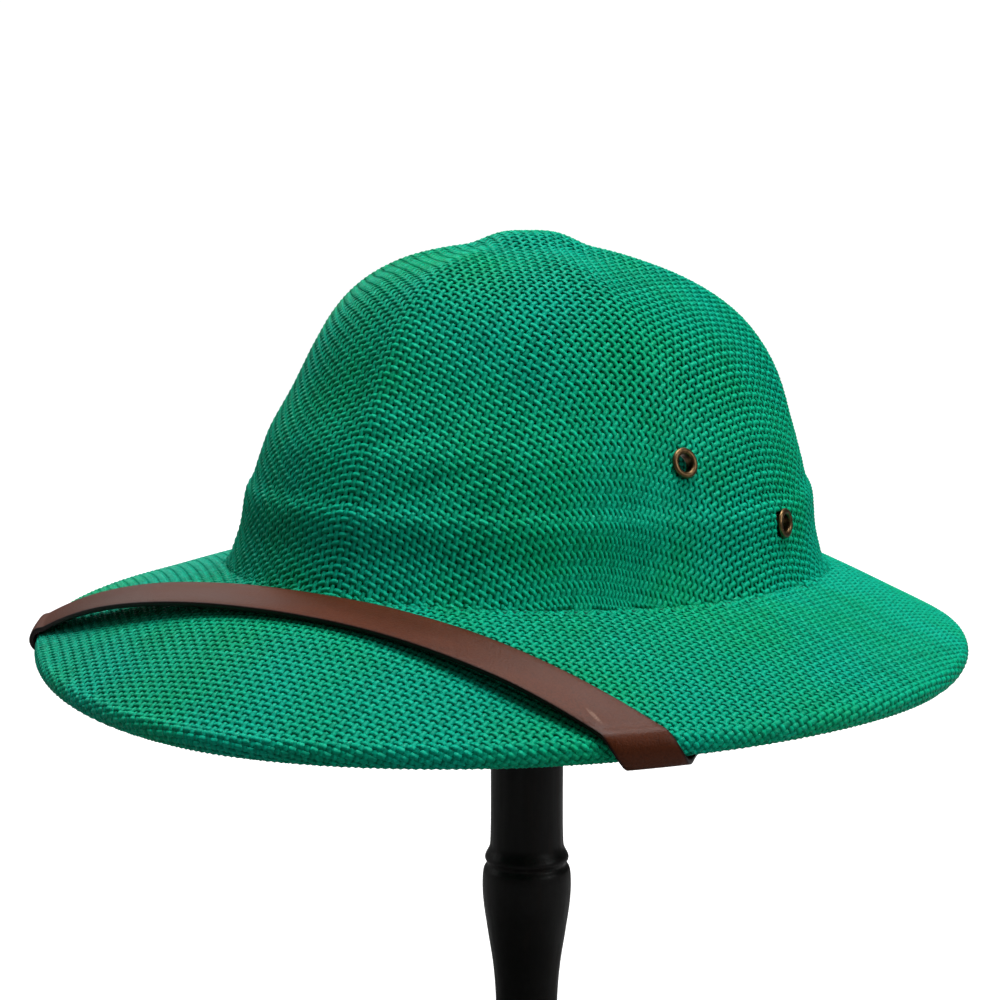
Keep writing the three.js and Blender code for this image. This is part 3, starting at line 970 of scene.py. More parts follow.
def grid_runs(
    lines: Array, valid: Array, cross_pitch: Array, over_first: Array, normal_of: Callable[[Array], Array],
    point_of: Callable[[Array], Array], yarn: Yarn, shades: Array,
) -> Iterator[Run]:
    """Turn the lines of a net into runs of yarn that pass over and under the others.

    Args:
        lines: Chart places of each line's crossings, two numbers each.
        valid: Which crossings lie on the cloth.
        cross_pitch: The free width between neighbouring yarns at each crossing.
        over_first: Whether each line is on top at its first crossing: 1 or -1.
        normal_of: Gives the cloth's outward direction at chart places.
        point_of: Gives the cloth's middle points at chart places.
        yarn: The yarn.
        shades: Each line's shade of the dye.

    Yields:
        The runs.
    """
    for line, good, free, first, shade in zip(lines, valid, cross_pitch, over_first, shades):
        ends = np.flatnonzero(np.diff(np.concatenate([[False], good, [False]]).astype(int)))
        for start, stop in zip(ends[::2], ends[1::2]):
            if stop - start < yarn.shortest_run:
                continue
            nodes = line[start:stop]
            between = (nodes[1:] + nodes[:-1]) / 2
            chart = np.empty((2 * len(nodes) - 1, 2))
            chart[::2], chart[1::2] = nodes, between
            side = np.zeros(len(chart))
            side[::2] = first * (-1.0) ** np.arange(start, stop)
            width = np.empty(len(chart))
            narrow = yarn.least_share * yarn.half_width
            width[::2] = np.clip(yarn.free_share * free[start:stop], narrow, yarn.half_width)
            width[1::2] = (width[2::2] + width[:-2:2]) / 2
            normal = normal_of(chart)
            centre = point_of(chart) + normal * (side * yarn.lift)[:, None]
            yield Run(centre, normal, width, shade)


@dataclass
class CrownCloth:
    """The crown's open cloth: one layer, draped from its top so that its cells shear at the corners."""

    form: HelmetForm
    shape: Sheet
    yarn: Yarn
    depth: float = 0.0009
    skirt: float = 0.012
    cells: int = 78
    line_samples: int = 2000
    skirt_end: float = 2.9
    net_end: float = 2.5
    yarn_end: float = 0.12
    newton_steps: int = 8
    probe: float = 0.02
    furthest_step: float = 0.12
    least_sine: float = 0.18
    net: Array = field(init=False)
    points: Array = field(init=False)

    def __post_init__(self) -> None:
        """Continue the crown straight down past the fold and drape the net over it."""
        crown = self.shape.table[: FOLD_STATION * self.form.per_station + 1]
        steps = np.arange(1, 3 * self.form.per_station + 1)[:, None, None]
        drop = np.array([0, 0, -self.skirt / self.form.per_station])
        self.full = Sheet(np.concatenate([crown, crown[-1] + steps * drop]), self.form.per_station)
        self.outward = self.form.outward(self.full)
        self.drape()

    @staticmethod
    def polar(chart: Array) -> tuple[Array, Array]:
        """Turn chart places into angles from the front and stations."""
        return np.arctan2(chart[..., 0], -chart[..., 1]), np.hypot(chart[..., 0], chart[..., 1])

    def point(self, chart: Array) -> Array:
        """Give the outer face's points at chart places."""
        return self.full.at(*self.polar(chart))

    def axis_line(self, angle: float, count: int) -> Array:
        """Space crossings along the crown's outline at one angle, one pitch apart.

        Args:
            angle: The outline's angle from the front, in radians.
            count: How many crossings there are.

        Returns:
            Chart places of the crossings.
        """
        stations = np.linspace(0, FOLD_STATION + self.skirt_end, self.line_samples)
        line = self.full.at(np.full(stations.shape, angle), stations)
        found = np.interp(np.arange(count) * self.yarn.pitch, run_length(line), stations)
        return found[:, None] * np.array([math.sin(angle), -math.cos(angle)])

    def drape(self) -> None:
        """Drape a net of equal cells: each crossing lies one pitch from the two before it."""
        count = self.cells
        net = np.full((2 * count + 1, 2 * count + 1, 2), np.nan)
        for across, ahead in ((1, 1), (1, -1), (-1, 1), (-1, -1)):
            quarter = np.full((count + 1, count + 1, 2), np.nan)
            quarter[:, 0] = self.axis_line(across * math.pi / 2, count + 1)
            quarter[0, :] = self.axis_line(0.0 if ahead > 0 else math.pi, count + 1)
            for total in range(2, 2 * count + 1):
                i = np.arange(max(1, total - count), min(count, total - 1) + 1)
                j = total - i
                left, down, before = quarter[i - 1, j], quarter[i, j - 1], quarter[i - 1, j - 1]
                quarter[i, j] = self.next_crossings(left, down, left + down - before)
            rows = count + across * np.arange(count + 1)
            columns = count + ahead * np.arange(count + 1)
            net[np.ix_(rows, columns)] = quarter
        self.net = net
        self.points = self.point(np.nan_to_num(net))
        self.points[np.isnan(net[..., 0])] = np.nan

    def next_crossings(self, left: Array, down: Array, guess: Array) -> Array:
        """Find the crossings one pitch from each of two neighbours, by Newton's method.

        Args:
            left: Chart places of one neighbour.
            down: Chart places of the other neighbour.
            guess: Chart places to start from.

        Returns:
            The crossings' chart places, not a number where the net has left the crown.
        """
        limit = FOLD_STATION + self.net_end
        known = ~np.isnan(guess[:, 0])
        known[known] &= np.hypot(*guess[known].T) < limit
        found = np.full(guess.shape, np.nan)
        if not known.any():
            return found
        place = guess[known].copy()
        targets = [self.point(left[known]), self.point(down[known])]
        probes = np.eye(2) * self.probe
        for _ in range(self.newton_steps):
            here = self.point(place)
            slopes = [(self.point(place + probe) - here) / self.probe for probe in probes]
            misses = [here - target for target in targets]
            value = np.stack([(miss * miss).sum(-1) - self.yarn.pitch**2 for miss in misses], axis=-1)
            rates = [np.stack([2 * (miss * slope).sum(-1) for miss in misses], axis=-1) for slope in slopes]
            steps = np.stack(shares_of(value, *rates, least=1e-14), axis=-1)
            place -= np.clip(steps, -self.furthest_step, self.furthest_step)
        found[known] = place
        return found

    def middle(self, chart: Array) -> Array:
        """Give the middle of the cloth at chart places, in the row frame."""
        points = self.point(chart) - self.normal(chart) * self.depth
        return self.form.in_frame(points)

    def normal(self, chart: Array) -> Array:
        """Give the cloth's outward direction at chart places."""
        return unit(self.outward.at(*self.polar(chart)))

    def runs(
        self, warp: bool, holes: Sequence[tuple[Vector, float]], shades: np.random.Generator
    ) -> list[Run]:
        """Lay the yarns of one direction.

        Args:
            warp: Whether the yarns run from front to back.
            holes: Centres and radii of the holes that the eyelets line.
            shades: Where each yarn's shade of the dye is drawn from.

        Returns:
            The runs of yarn.
        """
        net = self.net if warp else self.net.transpose(1, 0, 2)
        points = self.points if warp else self.points.transpose(1, 0, 2)
        station = np.hypot(net[..., 0], net[..., 1])
        valid = np.nan_to_num(station, nan=LAST_STATION) < FOLD_STATION + self.yarn_end
        for centre, radius in holes:
            away = np.linalg.norm(self.form.in_frame(points) - np.array(centre), axis=-1)
            valid &= ~(np.nan_to_num(away, nan=0) < radius)
        across = np.gradient(points, axis=0)
        along = np.gradient(points, axis=1)
        sine = np.linalg.norm(np.cross(unit(across), unit(along)), axis=-1)
        free = np.nan_to_num(np.maximum(sine, self.least_sine) * self.yarn.pitch, nan=self.yarn.pitch)
        count = len(net)
        first = (1 if warp else -1) * (-1.0) ** np.arange(count)
        tones = shades.uniform(*SHADE_RANGE, count)
        return list(grid_runs(net, valid, free, first, self.normal, self.middle, self.yarn, tones))


@dataclass
class BrimCloth:
    """The brim's closer cloth, laid flat from the fold and rolled round the lip."""

    form: HelmetForm
    shape: Sheet
    yarn: Yarn
    depth: float = 0.0008
    inner_station: float = FOLD_STATION - 0.1
    cells: int = 90
    newton_steps: int = 14
    probe: float = 0.01
    furthest_turn: float = 0.15
    furthest_move: float = 0.8
    reached: float = 1e-4

    def __post_init__(self) -> None:
        """Work out the plan that the brim's cloth has when it is laid flat."""
        rows = self.shape.table
        first = int(self.inner_station * self.form.per_station)
        part = rows[first:]
        steps = np.linalg.norm(np.diff(part, axis=0), axis=-1)
        length = np.concatenate([np.zeros((1, steps.shape[1])), np.cumsum(steps, axis=0)])
        angle = self.form.angles()
        outward = (self.form.rim(angle) - self.form.fold(angle))[:, :2]
        self.first = first
        self.flat = Sheet(part[:1, :, :2] + unit(outward)[None] * length[..., None], self.form.per_station)
        self.outward = self.form.outward(self.shape)

    def unroll(self, place: Array) -> Array:
        """Find the angle and station of flat places, by Newton's method.

        Args:
            place: Places on the flat cloth, two numbers each.

        Returns:
            Angle and station of each.
        """
        angle = np.arctan2(place[..., 0] * 1.1, -place[..., 1])
        start = self.first / self.form.per_station
        rows = len(self.flat.table) / self.form.per_station
        station = np.full(angle.shape, rows / 2)
        for _ in range(self.newton_steps):
            here = self.flat.at(angle, station)
            turned = (self.flat.at(angle + self.probe, station) - here) / self.probe
            moved = (self.flat.at(angle, station + self.probe) - here) / self.probe
            turn, move = shares_of(place - here, turned, moved)
            angle = angle + np.clip(turn, -self.furthest_turn, self.furthest_turn)
            station = station + np.clip(move, -self.furthest_move, self.furthest_move)
            station = np.clip(station, -0.5, rows + 0.5)
        return np.stack([angle, station + start], axis=-1)

    def point(self, chart: Array) -> Array:
        """Give the outer face's points at angles and stations."""
        return self.shape.at(chart[..., 0], chart[..., 1])

    def normal(self, chart: Array) -> Array:
        """Give the cloth's outward direction at angles and stations."""
        return unit(self.outward.at(chart[..., 0], chart[..., 1]))

    def middle(self, chart: Array) -> Array:
        """Give the middle of the cloth at angles and stations, in the row frame."""
        return self.form.in_frame(self.point(chart) - self.normal(chart) * self.depth)

    def runs(self, warp: bool, shades: np.random.Generator) -> list[Run]:
        """Lay the yarns of one direction.

        Args:
            warp: Whether the yarns run from front to back.
            shades: Where each yarn's shade of the dye is drawn from.

        Returns:
            The runs of yarn.
        """
        marks = np.arange(-self.cells, self.cells + 1) * self.yarn.pitch
        across, ahead = np.meshgrid(marks, marks - self.form.rim_ahead, indexing="ij")
        place = np.stack([across, ahead], axis=-1)
        place = place if warp else place.transpose(1, 0, 2)
        chart = self.unroll(place)
        station = chart[..., 1]
        found = self.flat.at(chart[..., 0], station - self.first / self.form.per_station)
        reached = np.linalg.norm(found - place, axis=-1) < self.reached
        valid = reached & (station < LAST_STATION) & (station > self.inner_station)
        chart[..., 0] = np.unwrap(chart[..., 0], axis=1)
        free = np.full(valid.shape, self.yarn.pitch)
        first = (1 if warp else -1) * (-1.0) ** np.arange(len(marks))
        tones = shades.uniform(*SHADE_RANGE, len(marks))
        return list(grid_runs(chart, valid, free, first, self.normal, self.middle, self.yarn, tones))


@dataclass
class StrawShell:
    """The helmet's shell: the crown's open cloth, the brim's cloth and the straw layer under both."""

    form: HelmetForm
    finish: PaperStraw
    crown_yarn: Yarn = Yarn()
    brim_yarn: Yarn = Yarn(pitch=0.0021, half_width=0.0009, half_thickness=0.00026, lift=0.00026)
    crown_layer: float = 0.0017
    brim_layer: float = 0.0016
    fold_rise: float = 0.0008
    fold_reach: float = 0.4
    layer_columns: int = 240
    layer_per_station: int = 3
    cells_round: int = 270
    seed: int = 7

    def build(self, holes: Sequence[tuple[Vector, float]]) -> list[bpy.types.Object]:
        """Weave and dress the shell's pieces.

        Args:
            holes: Centres and radii of the holes that the eyelets line.

        Returns:
            The pieces.
        """
        shaped = self.form.shaped()
        draws = np.random.default_rng(self.seed)
        material = self.finish.yarn()
        crown = CrownCloth(self.form, shaped, self.crown_yarn)
        tubes = YarnCloth(self.crown_yarn)
        pieces = []
        for name, warp in (("crown_warp", True), ("crown_weft", False)):
            runs = crown.runs(warp, holes, draws)
            middle = len(runs) // 2
            pieces += [tubes.piece(f"{name}_a", runs[:middle]), tubes.piece(f"{name}_b", runs[middle:])]
        brim = BrimCloth(self.form, shaped, self.brim_yarn)
        for name, warp in (("brim_warp", True), ("brim_weft", False)):
            pieces.append(tubes.piece(name, brim.runs(warp, draws)))
        for piece in pieces:
            dress(piece, material, Slot.STRAW, ["helmet_shell"])
        layer = self.under_layer(shaped)
        self.bore(layer, holes)
        pieces.append(dress(layer, self.finish.backing(self.brim_yarn.pitch), Slot.STRAW, ["helmet_shell"]))
        return pieces

    def bore(self, layer: bpy.types.Object, holes: Sequence[tuple[Vector, float]]) -> None:
        """Cut the eyelets' holes through the under layer.

        Args:
            layer: The under layer, which is changed.
            holes: Centres and radii of the holes.
        """
        cutters = bmesh.new()
        for centre, radius in holes:
            place = Matrix.Translation(centre)
            bmesh.ops.create_icosphere(cutters, subdivisions=3, radius=radius, matrix=place)
        cutter = object_from(cutters, "eyelet_cutters")
        cut = layer.modifiers.new("bores", "BOOLEAN")
        cut.operation, cut.object, cut.solver = "DIFFERENCE", cutter, "EXACT"
        graph = bpy.context.evaluated_depsgraph_get()
        mesh = bpy.data.meshes.new_from_object(layer.evaluated_get(graph))
        layer.modifiers.clear()
        layer.data = mesh
        bpy.data.objects.remove(cutter)

    def under_layer(self, shaped: Sheet) -> bpy.types.Object:
        """Make the straw's under layer, one closed wall from the crown's top to the lip's end.

        Args:
            shaped: The outer face.

        Returns:
            The piece, with the lay of its cloth as the UV map "cloth".
        """
        around, per_station = self.layer_columns, self.layer_per_station
        stations = np.arange(LAST_STATION * per_station + 1) / per_station
        angle, station = np.meshgrid(np.arange(around) * math.tau / around, stations)
        face, out = shaped.at(angle, station), unit(self.form.outward(shaped).at(angle, station))
        wall = self.form.wall(station)[..., None]
        on_brim = smooth_step(station, FOLD_STATION - 2, FOLD_STATION)[..., None]
        near_fold = np.exp(-(((station - FOLD_STATION) / self.fold_reach) ** 2))[..., None]
        depth = self.crown_layer + (self.brim_layer - self.crown_layer) * on_brim
        outer = face - out * (depth - self.fold_rise * near_fold)
        rings = self.form.in_frame(np.concatenate([outer, (face - out * wall)[::-1]]))
        shape, marks = flat_grid(len(rings) - 1, around)
        layer = shape.loops.layers.uv.new("cloth")
        lengths = run_length(face[:, 0])
        lengths = np.concatenate([lengths, lengths[::-1]])
        places = {}
        for vert, (row, column) in marks.items():
            vert.co = rings[row, column % around]
            level = min(row, len(rings) - 1 - row)
            turned = (column / around * self.cells_round * self.brim_yarn.pitch, lengths[row])
            places[vert] = (tuple(vert.co.xy), turned, level >= FOLD_STATION * per_station)
        for facet in shape.faces:
            flat = all(places[corner.vert][2] for corner in facet.loops)
            for corner in facet.loops:
                corner[layer].uv = places[corner.vert][0 if flat else 1]
        bmesh.ops.remove_doubles(shape, verts=shape.verts, dist=1e-7)
        bmesh.ops.bridge_loops(shape, edges=[edge for edge in shape.edges if edge.is_boundary])
        bmesh.ops.recalc_face_normals(shape, faces=shape.faces)
        return object_from(shape, "straw_under_layer")


@dataclass(frozen=True)
class EyeletSeat:
    """Where an eyelet sits: angle from the front in degrees and height above the fold."""

    node: str
    angle: float
    height: float


@dataclass
class Eyelets:
    """Four brass eyelets for air, two on each side: a rolled flange, a barrel and a washer."""

    form: HelmetForm
    finish: AntiqueBrass
    bore: float = 0.0027
    barrel: float = 0.0032
    flange: float = 0.0047
    rim: float = 0.0009
    rim_lift: float = 0.0001
    washer: float = 0.0046
    washer_foot: float = 0.0007
    washer_edge: float = 0.0002
    washer_bevel: float = 0.0004
    bore_bevel: float = 0.0003
    clear: float = 0.0036
    seats: tuple[EyeletSeat, ...] = (
        EyeletSeat("eyelet_left_front", 69, 0.0403),
        EyeletSeat("eyelet_left_rear", 95.2, 0.0186),
        EyeletSeat("eyelet_right_front", -69, 0.0403),
        EyeletSeat("eyelet_right_rear", -95.2, 0.0186),
    )

    def places(self) -> list[tuple[Vector, Vector]]:
        """Find each eyelet's middle and its way out of the helmet, in the row frame.

        Returns:
            A point and a direction for each eyelet.
        """
        shaped = self.form.shaped()
        normals = self.form.outward(self.form.smooth())
        depths = [-level.height for level in CROWN_LEVELS]
        found = []
        for seat in self.seats:
            station = np.array(np.interp(-seat.height, depths, range(len(depths))))
            angle = np.array(math.radians(seat.angle))
            out = unit(normals.at(angle, station))
            point = self.form.in_frame(shaped.at(angle, station) - out * self.form.crown_wall / 2)
            found.append((Vector(point), Vector(out)))
        return found

    def holes(self) -> list[tuple[Vector, float]]:
        """Give the centre and radius of the hole that each eyelet lines."""
        return [(point, self.clear) for point, _ in self.places()]

    def profile(self) -> list[tuple[float, float]]:
        """Draw the eyelet's closed section: a rounded flange outside and a flat washer inside.

        Returns:
            Radius and height of each corner, about the eyelet's own axis.
        """
        seat = self.form.crown_wall / 2
        middle, half = (self.flange + self.bore) / 2, (self.flange - self.bore) / 2
        rolled = [
            (middle + half * math.cos(turn), seat + self.rim_lift + self.rim * math.sin(turn))
            for turn in even_angles(math.pi, 12)
        ]
        foot = -seat - self.washer_foot
        inner, outer = self.bore + self.bore_bevel, self.washer - self.washer_bevel
        inside = [(self.bore, -seat), (inner, foot), (outer, foot)]
        outside = [(self.washer, -seat - self.washer_edge), (self.barrel, -seat), (self.barrel, seat)]
        return rolled + inside + outside

    def build(self) -> list[bpy.types.Object]:
        """Spin, place and dress the four eyelets.

        Returns:
            The dressed pieces.
        """
        material = self.finish.material()
        pieces = []
        for seat, (point, out) in zip(self.seats, self.places()):
            shape = spun(self.profile(), 48, closed=True)
            place_along(shape, point, out)
            piece = object_from(shape, f"{seat.node}_ring")
            pieces.append(dress(piece, material, Slot.BRASS, [seat.node]))
        return pieces


@dataclass(frozen=True)
class HiddenPlace:
    """A place of the strap inside the crown: angle in degrees, station and clearance."""

    angle: float
    station: float
    lift: float


@dataclass(frozen=True)
class StrapHalf:
    """One half of the strap: its side, its bow per metre, its rise and its turns in degrees."""

    name: str
    side: int
    bow: float
    rise: float
    lip_advance: float
    hidden_turn: float


@dataclass
class ChinStrap:
    """The leather strap: over the front of the brim, round the lip, back into the crown.

    It stands a little off the brim on both sides, and on the wearer's right it bows back more.
    """

    form: HelmetForm
    leather: WaxedLeather
    brass: AntiqueBrass
    width: float = 0.0128
    thickness: float = 0.0016
    middle: float = 0.0084
    ahead: float = 0.1164
    lift: float = 0.0005
    lip_end: float = 195
    left: StrapHalf = StrapHalf("left", 1, 1 / 1.8, 0.002, 4.6, 0.0)
    right: StrapHalf = StrapHalf("right", -1, 1 / 0.48, 0.0032, 6.5, 6.0)
    scuff_at: tuple[float, float] = (0.0945, -0.0026)
    columns: int = 7
    run_steps: int = 36
    lip_steps: int = 18
    hidden: tuple[HiddenPlace, ...] = (
        HiddenPlace(65, 20.3, 0.0032),
        HiddenPlace(71, 19.3, 0.0019),
        HiddenPlace(76.5, 18.5, 0.0016),
        HiddenPlace(81.5, 17.8, 0.0017),
        HiddenPlace(86.5, 17.1, 0.0018),
        HiddenPlace(92, 16.4, 0.0016),
        HiddenPlace(98, 15.8, 0.0012),
        HiddenPlace(106, 15.2, 0.0007),
    )
    first_guess: float = FOLD_STATION + 1.5
    newton_steps: int = 16
    probe: float = 0.01
    furthest_turn: float = 0.2
    furthest_move: float = 0.7
    reach_between: tuple[float, float] = (0.08, 0.16)
    halvings: int = 24
    edge_round: float = 0.0005
    stud_radius: float = 0.004
    stud_height: float = 0.0014
    stud_gap: float = 0.0001
    rivet_radius: float = 0.0018
    rivet_depth: float = 0.0012

    def __post_init__(self) -> None:
        """Read the smooth outer face and its outward directions."""
        self.face = self.form.smooth()
        self.outward = self.form.outward(self.face)
        self.sides = np.linspace(-1, 1, self.columns)

    def on_brim(self, place: Array) -> tuple[Array, Array]:
        """Find the angle and station straight below places of the plan, by Newton's method.

        Args:
            place: Places in plan, two numbers each.

        Returns:
            The angles and the stations.
        """
        angle = np.arctan2(place[:, 0] * self.form.length_to_width, -place[:, 1])
        station = np.full(angle.shape, self.first_guess)
        for _ in range(self.newton_steps):
            here = self.face.at(angle, station)[:, :2]
            turned = (self.face.at(angle + self.probe, station)[:, :2] - here) / self.probe
            moved = (self.face.at(angle, station + self.probe)[:, :2] - here) / self.probe
            turn, move = shares_of(place - here, turned, moved)
            angle = angle + np.clip(turn, -self.furthest_turn, self.furthest_turn)
            station = station + np.clip(move, -self.furthest_move, self.furthest_move)
            station = np.clip(station, FOLD_STATION - 1, LIP_STATION + 0.3)
        return angle, station

    def outer_row(self, angle: Array, station: Array, rise: float) -> Array:
        """Give one row across the strap's middle layer, outside the helmet.

        Args:
            angle: The angle of each column.
            station: The station of each column.
            rise: How far the strap stands off the helmet here, beyond its usual lift.

        Returns:
            A point for each column.
        """
        lift = self.lift + rise + self.thickness / 2
        return self.face.at(angle, station) + unit(self.outward.at(angle, station)) * lift

    def plan(self, across: Array, half: StrapHalf) -> Array:
        """Give places of the strap's columns in plan, as if on the wearer's left.

        Args:
            across: How far across each column is, from the front's middle.
            half: The half of the strap.

        Returns:
            Two numbers for each column.
        """
        slope = half.bow * across
        shift = self.sides * self.width / 2 / np.hypot(1, slope)
        start = half.side * self.middle
        back = half.bow * across**2 / 2 - self.ahead + shift
        return np.stack([start + across - slope * shift, back], axis=-1)

    def reach(self, half: StrapHalf) -> Array:
        """Find how far across each column runs before it meets the lip, by halving.

        Args:
            half: The half of the strap.

        Returns:
            A distance for each column.
        """
        low, high = [np.full(self.columns, end) for end in self.reach_between]
        for _ in range(self.halvings):
            middle = (low + high) / 2
            inside = self.on_brim(self.plan(middle, half))[1] < LIP_STATION
            low, high = np.where(inside, middle, low), np.where(inside, high, middle)
        return low

    def half_rows(self, half: StrapHalf) -> Array:
        """Give the rows from the front's middle to the strap's end, as if on the wearer's left.

        Args:
            half: The half of the strap.

        Returns:
            The rows of the strap's middle layer.
        """
        reach = self.reach(half)
        crossings = self.on_brim(self.plan(reach, half))[0]
        rows = []
        for share in np.linspace(0, 1, self.run_steps + 1):
            rise = half.rise * math.sin(math.pi * share**2)
            rows.append(self.outer_row(*self.on_brim(self.plan(reach * share, half)), rise))
        lip_end = LIP_STATION + np.interp(self.lip_end, LIP_TURNS, range(len(LIP_TURNS)))
        for share in np.linspace(0, 1, self.lip_steps + 1)[1:]:
            station = np.full(crossings.shape, LIP_STATION + (lip_end - LIP_STATION) * share)
            rows.append(self.outer_row(crossings + math.radians(half.lip_advance) * share, station, 0))
        outer = np.stack(rows)
        tail = spline_rows(np.concatenate([outer[-2:], self.hidden_rows(half)]), 5)
        return np.concatenate([outer[:-2], tail])

    def hidden_angles(self, half: StrapHalf) -> Array:
        """Give the angles of the places inside the crown, turned less and less towards the end."""
        angle = np.array([place.angle for place in self.hidden])
        return np.radians(angle + half.hidden_turn * np.linspace(1, 0, len(angle)))

    def hidden_rows(self, half: StrapHalf) -> Array:
        """Give the rows inside the crown, from the lip to the strap's end.

        Args:
            half: The half of the strap.

        Returns:
            The rows of the strap's middle layer.
        """
        angle = self.hidden_angles(half)
        station = np.array([place.station for place in self.hidden])
        lift = np.array([place.lift for place in self.hidden])
        lift = lift + self.form.wall(station) + self.thickness / 2
        inward = -unit(self.outward.at(angle, station))
        centre = self.face.at(angle, station) + inward * lift[:, None]
        along = unit(np.gradient(centre, axis=0))
        across = unit(np.cross(inward, along))
        return centre[:, None] + across[:, None] * (self.sides * self.width / 2)[None, :, None]

    def build(self) -> list[bpy.types.Object]:
        """Make and dress the strap and its studs.

        Returns:
            The dressed pieces.
        """
        left = self.half_rows(self.left)
        right = self.half_rows(self.right)[:0:-1] * np.array([-1, 1, 1])
        rows = self.form.in_frame(np.concatenate([right, left]))
        length = run_length(rows[:, self.columns // 2])
        centre = length[len(right)]
        shape, marks = flat_grid(len(rows) - 1, self.columns - 1)
        layer = shape.loops.layers.uv.new("strap")
        places = {}
        for vert, (row, column) in marks.items():
            places[vert] = (length[row] - centre, self.sides[column] * self.width / 2)
            vert.co = rows[row, column]
        for facet in shape.faces:
            for corner in facet.loops:
                corner[layer].uv = places[corner.vert]
        piece = object_from(shape, "chin_strap_leather")
        wall = piece.modifiers.new("thickness", "SOLIDIFY")
        wall.thickness, wall.offset = self.thickness, 0
        wall.use_even_offset = True
        edge = piece.modifiers.new("edge", "BEVEL")
        edge.width, edge.segments, edge.limit_method = self.edge_round, 3, "ANGLE"
        edge.angle_limit = math.radians(50)
        leather = self.leather.material(self.scuff_at, self.width / 2)
        return [dress(piece, leather, Slot.LEATHER, ["chin_strap"]), *self.studs()]

    def studs(self) -> list[bpy.types.Object]:
        """Make the domed studs that hold the strap's ends inside the crown.

        Returns:
            The dressed pieces.
        """
        top = self.thickness + self.stud_gap
        dome = [
            (self.stud_radius * math.cos(turn), top + self.stud_height * math.sin(turn))
            for turn in even_angles(math.pi / 2, 8)[:-1]
        ]
        rivet = [(0, -self.rivet_depth), (self.rivet_radius, -self.rivet_depth), (self.rivet_radius, top)]
        profile = [*rivet, *dome, (0, top + self.stud_height)]
        material = self.brass.material()
        pieces = []
        for half in (self.left, self.right):
            place = self.hidden[-2]
            angle, station = self.hidden_angles(half)[-2], np.array(place.station)
            inward = -unit(self.outward.at(angle, station))
            wall = float(self.form.wall(station)) + place.lift
            point = self.form.in_frame(self.face.at(angle, station) + inward * wall)
            mirror = np.array([half.side, 1, 1])
            shape = spun(profile, 32, closed=False)
            place_along(shape, Vector(point * mirror), Vector(inward * mirror))
            piece = object_from(shape, f"strap_stud_{half.name}_dome")
            pieces.append(dress(piece, material, Slot.BRASS, [f"strap_stud_{half.name}"]))
        return pieces


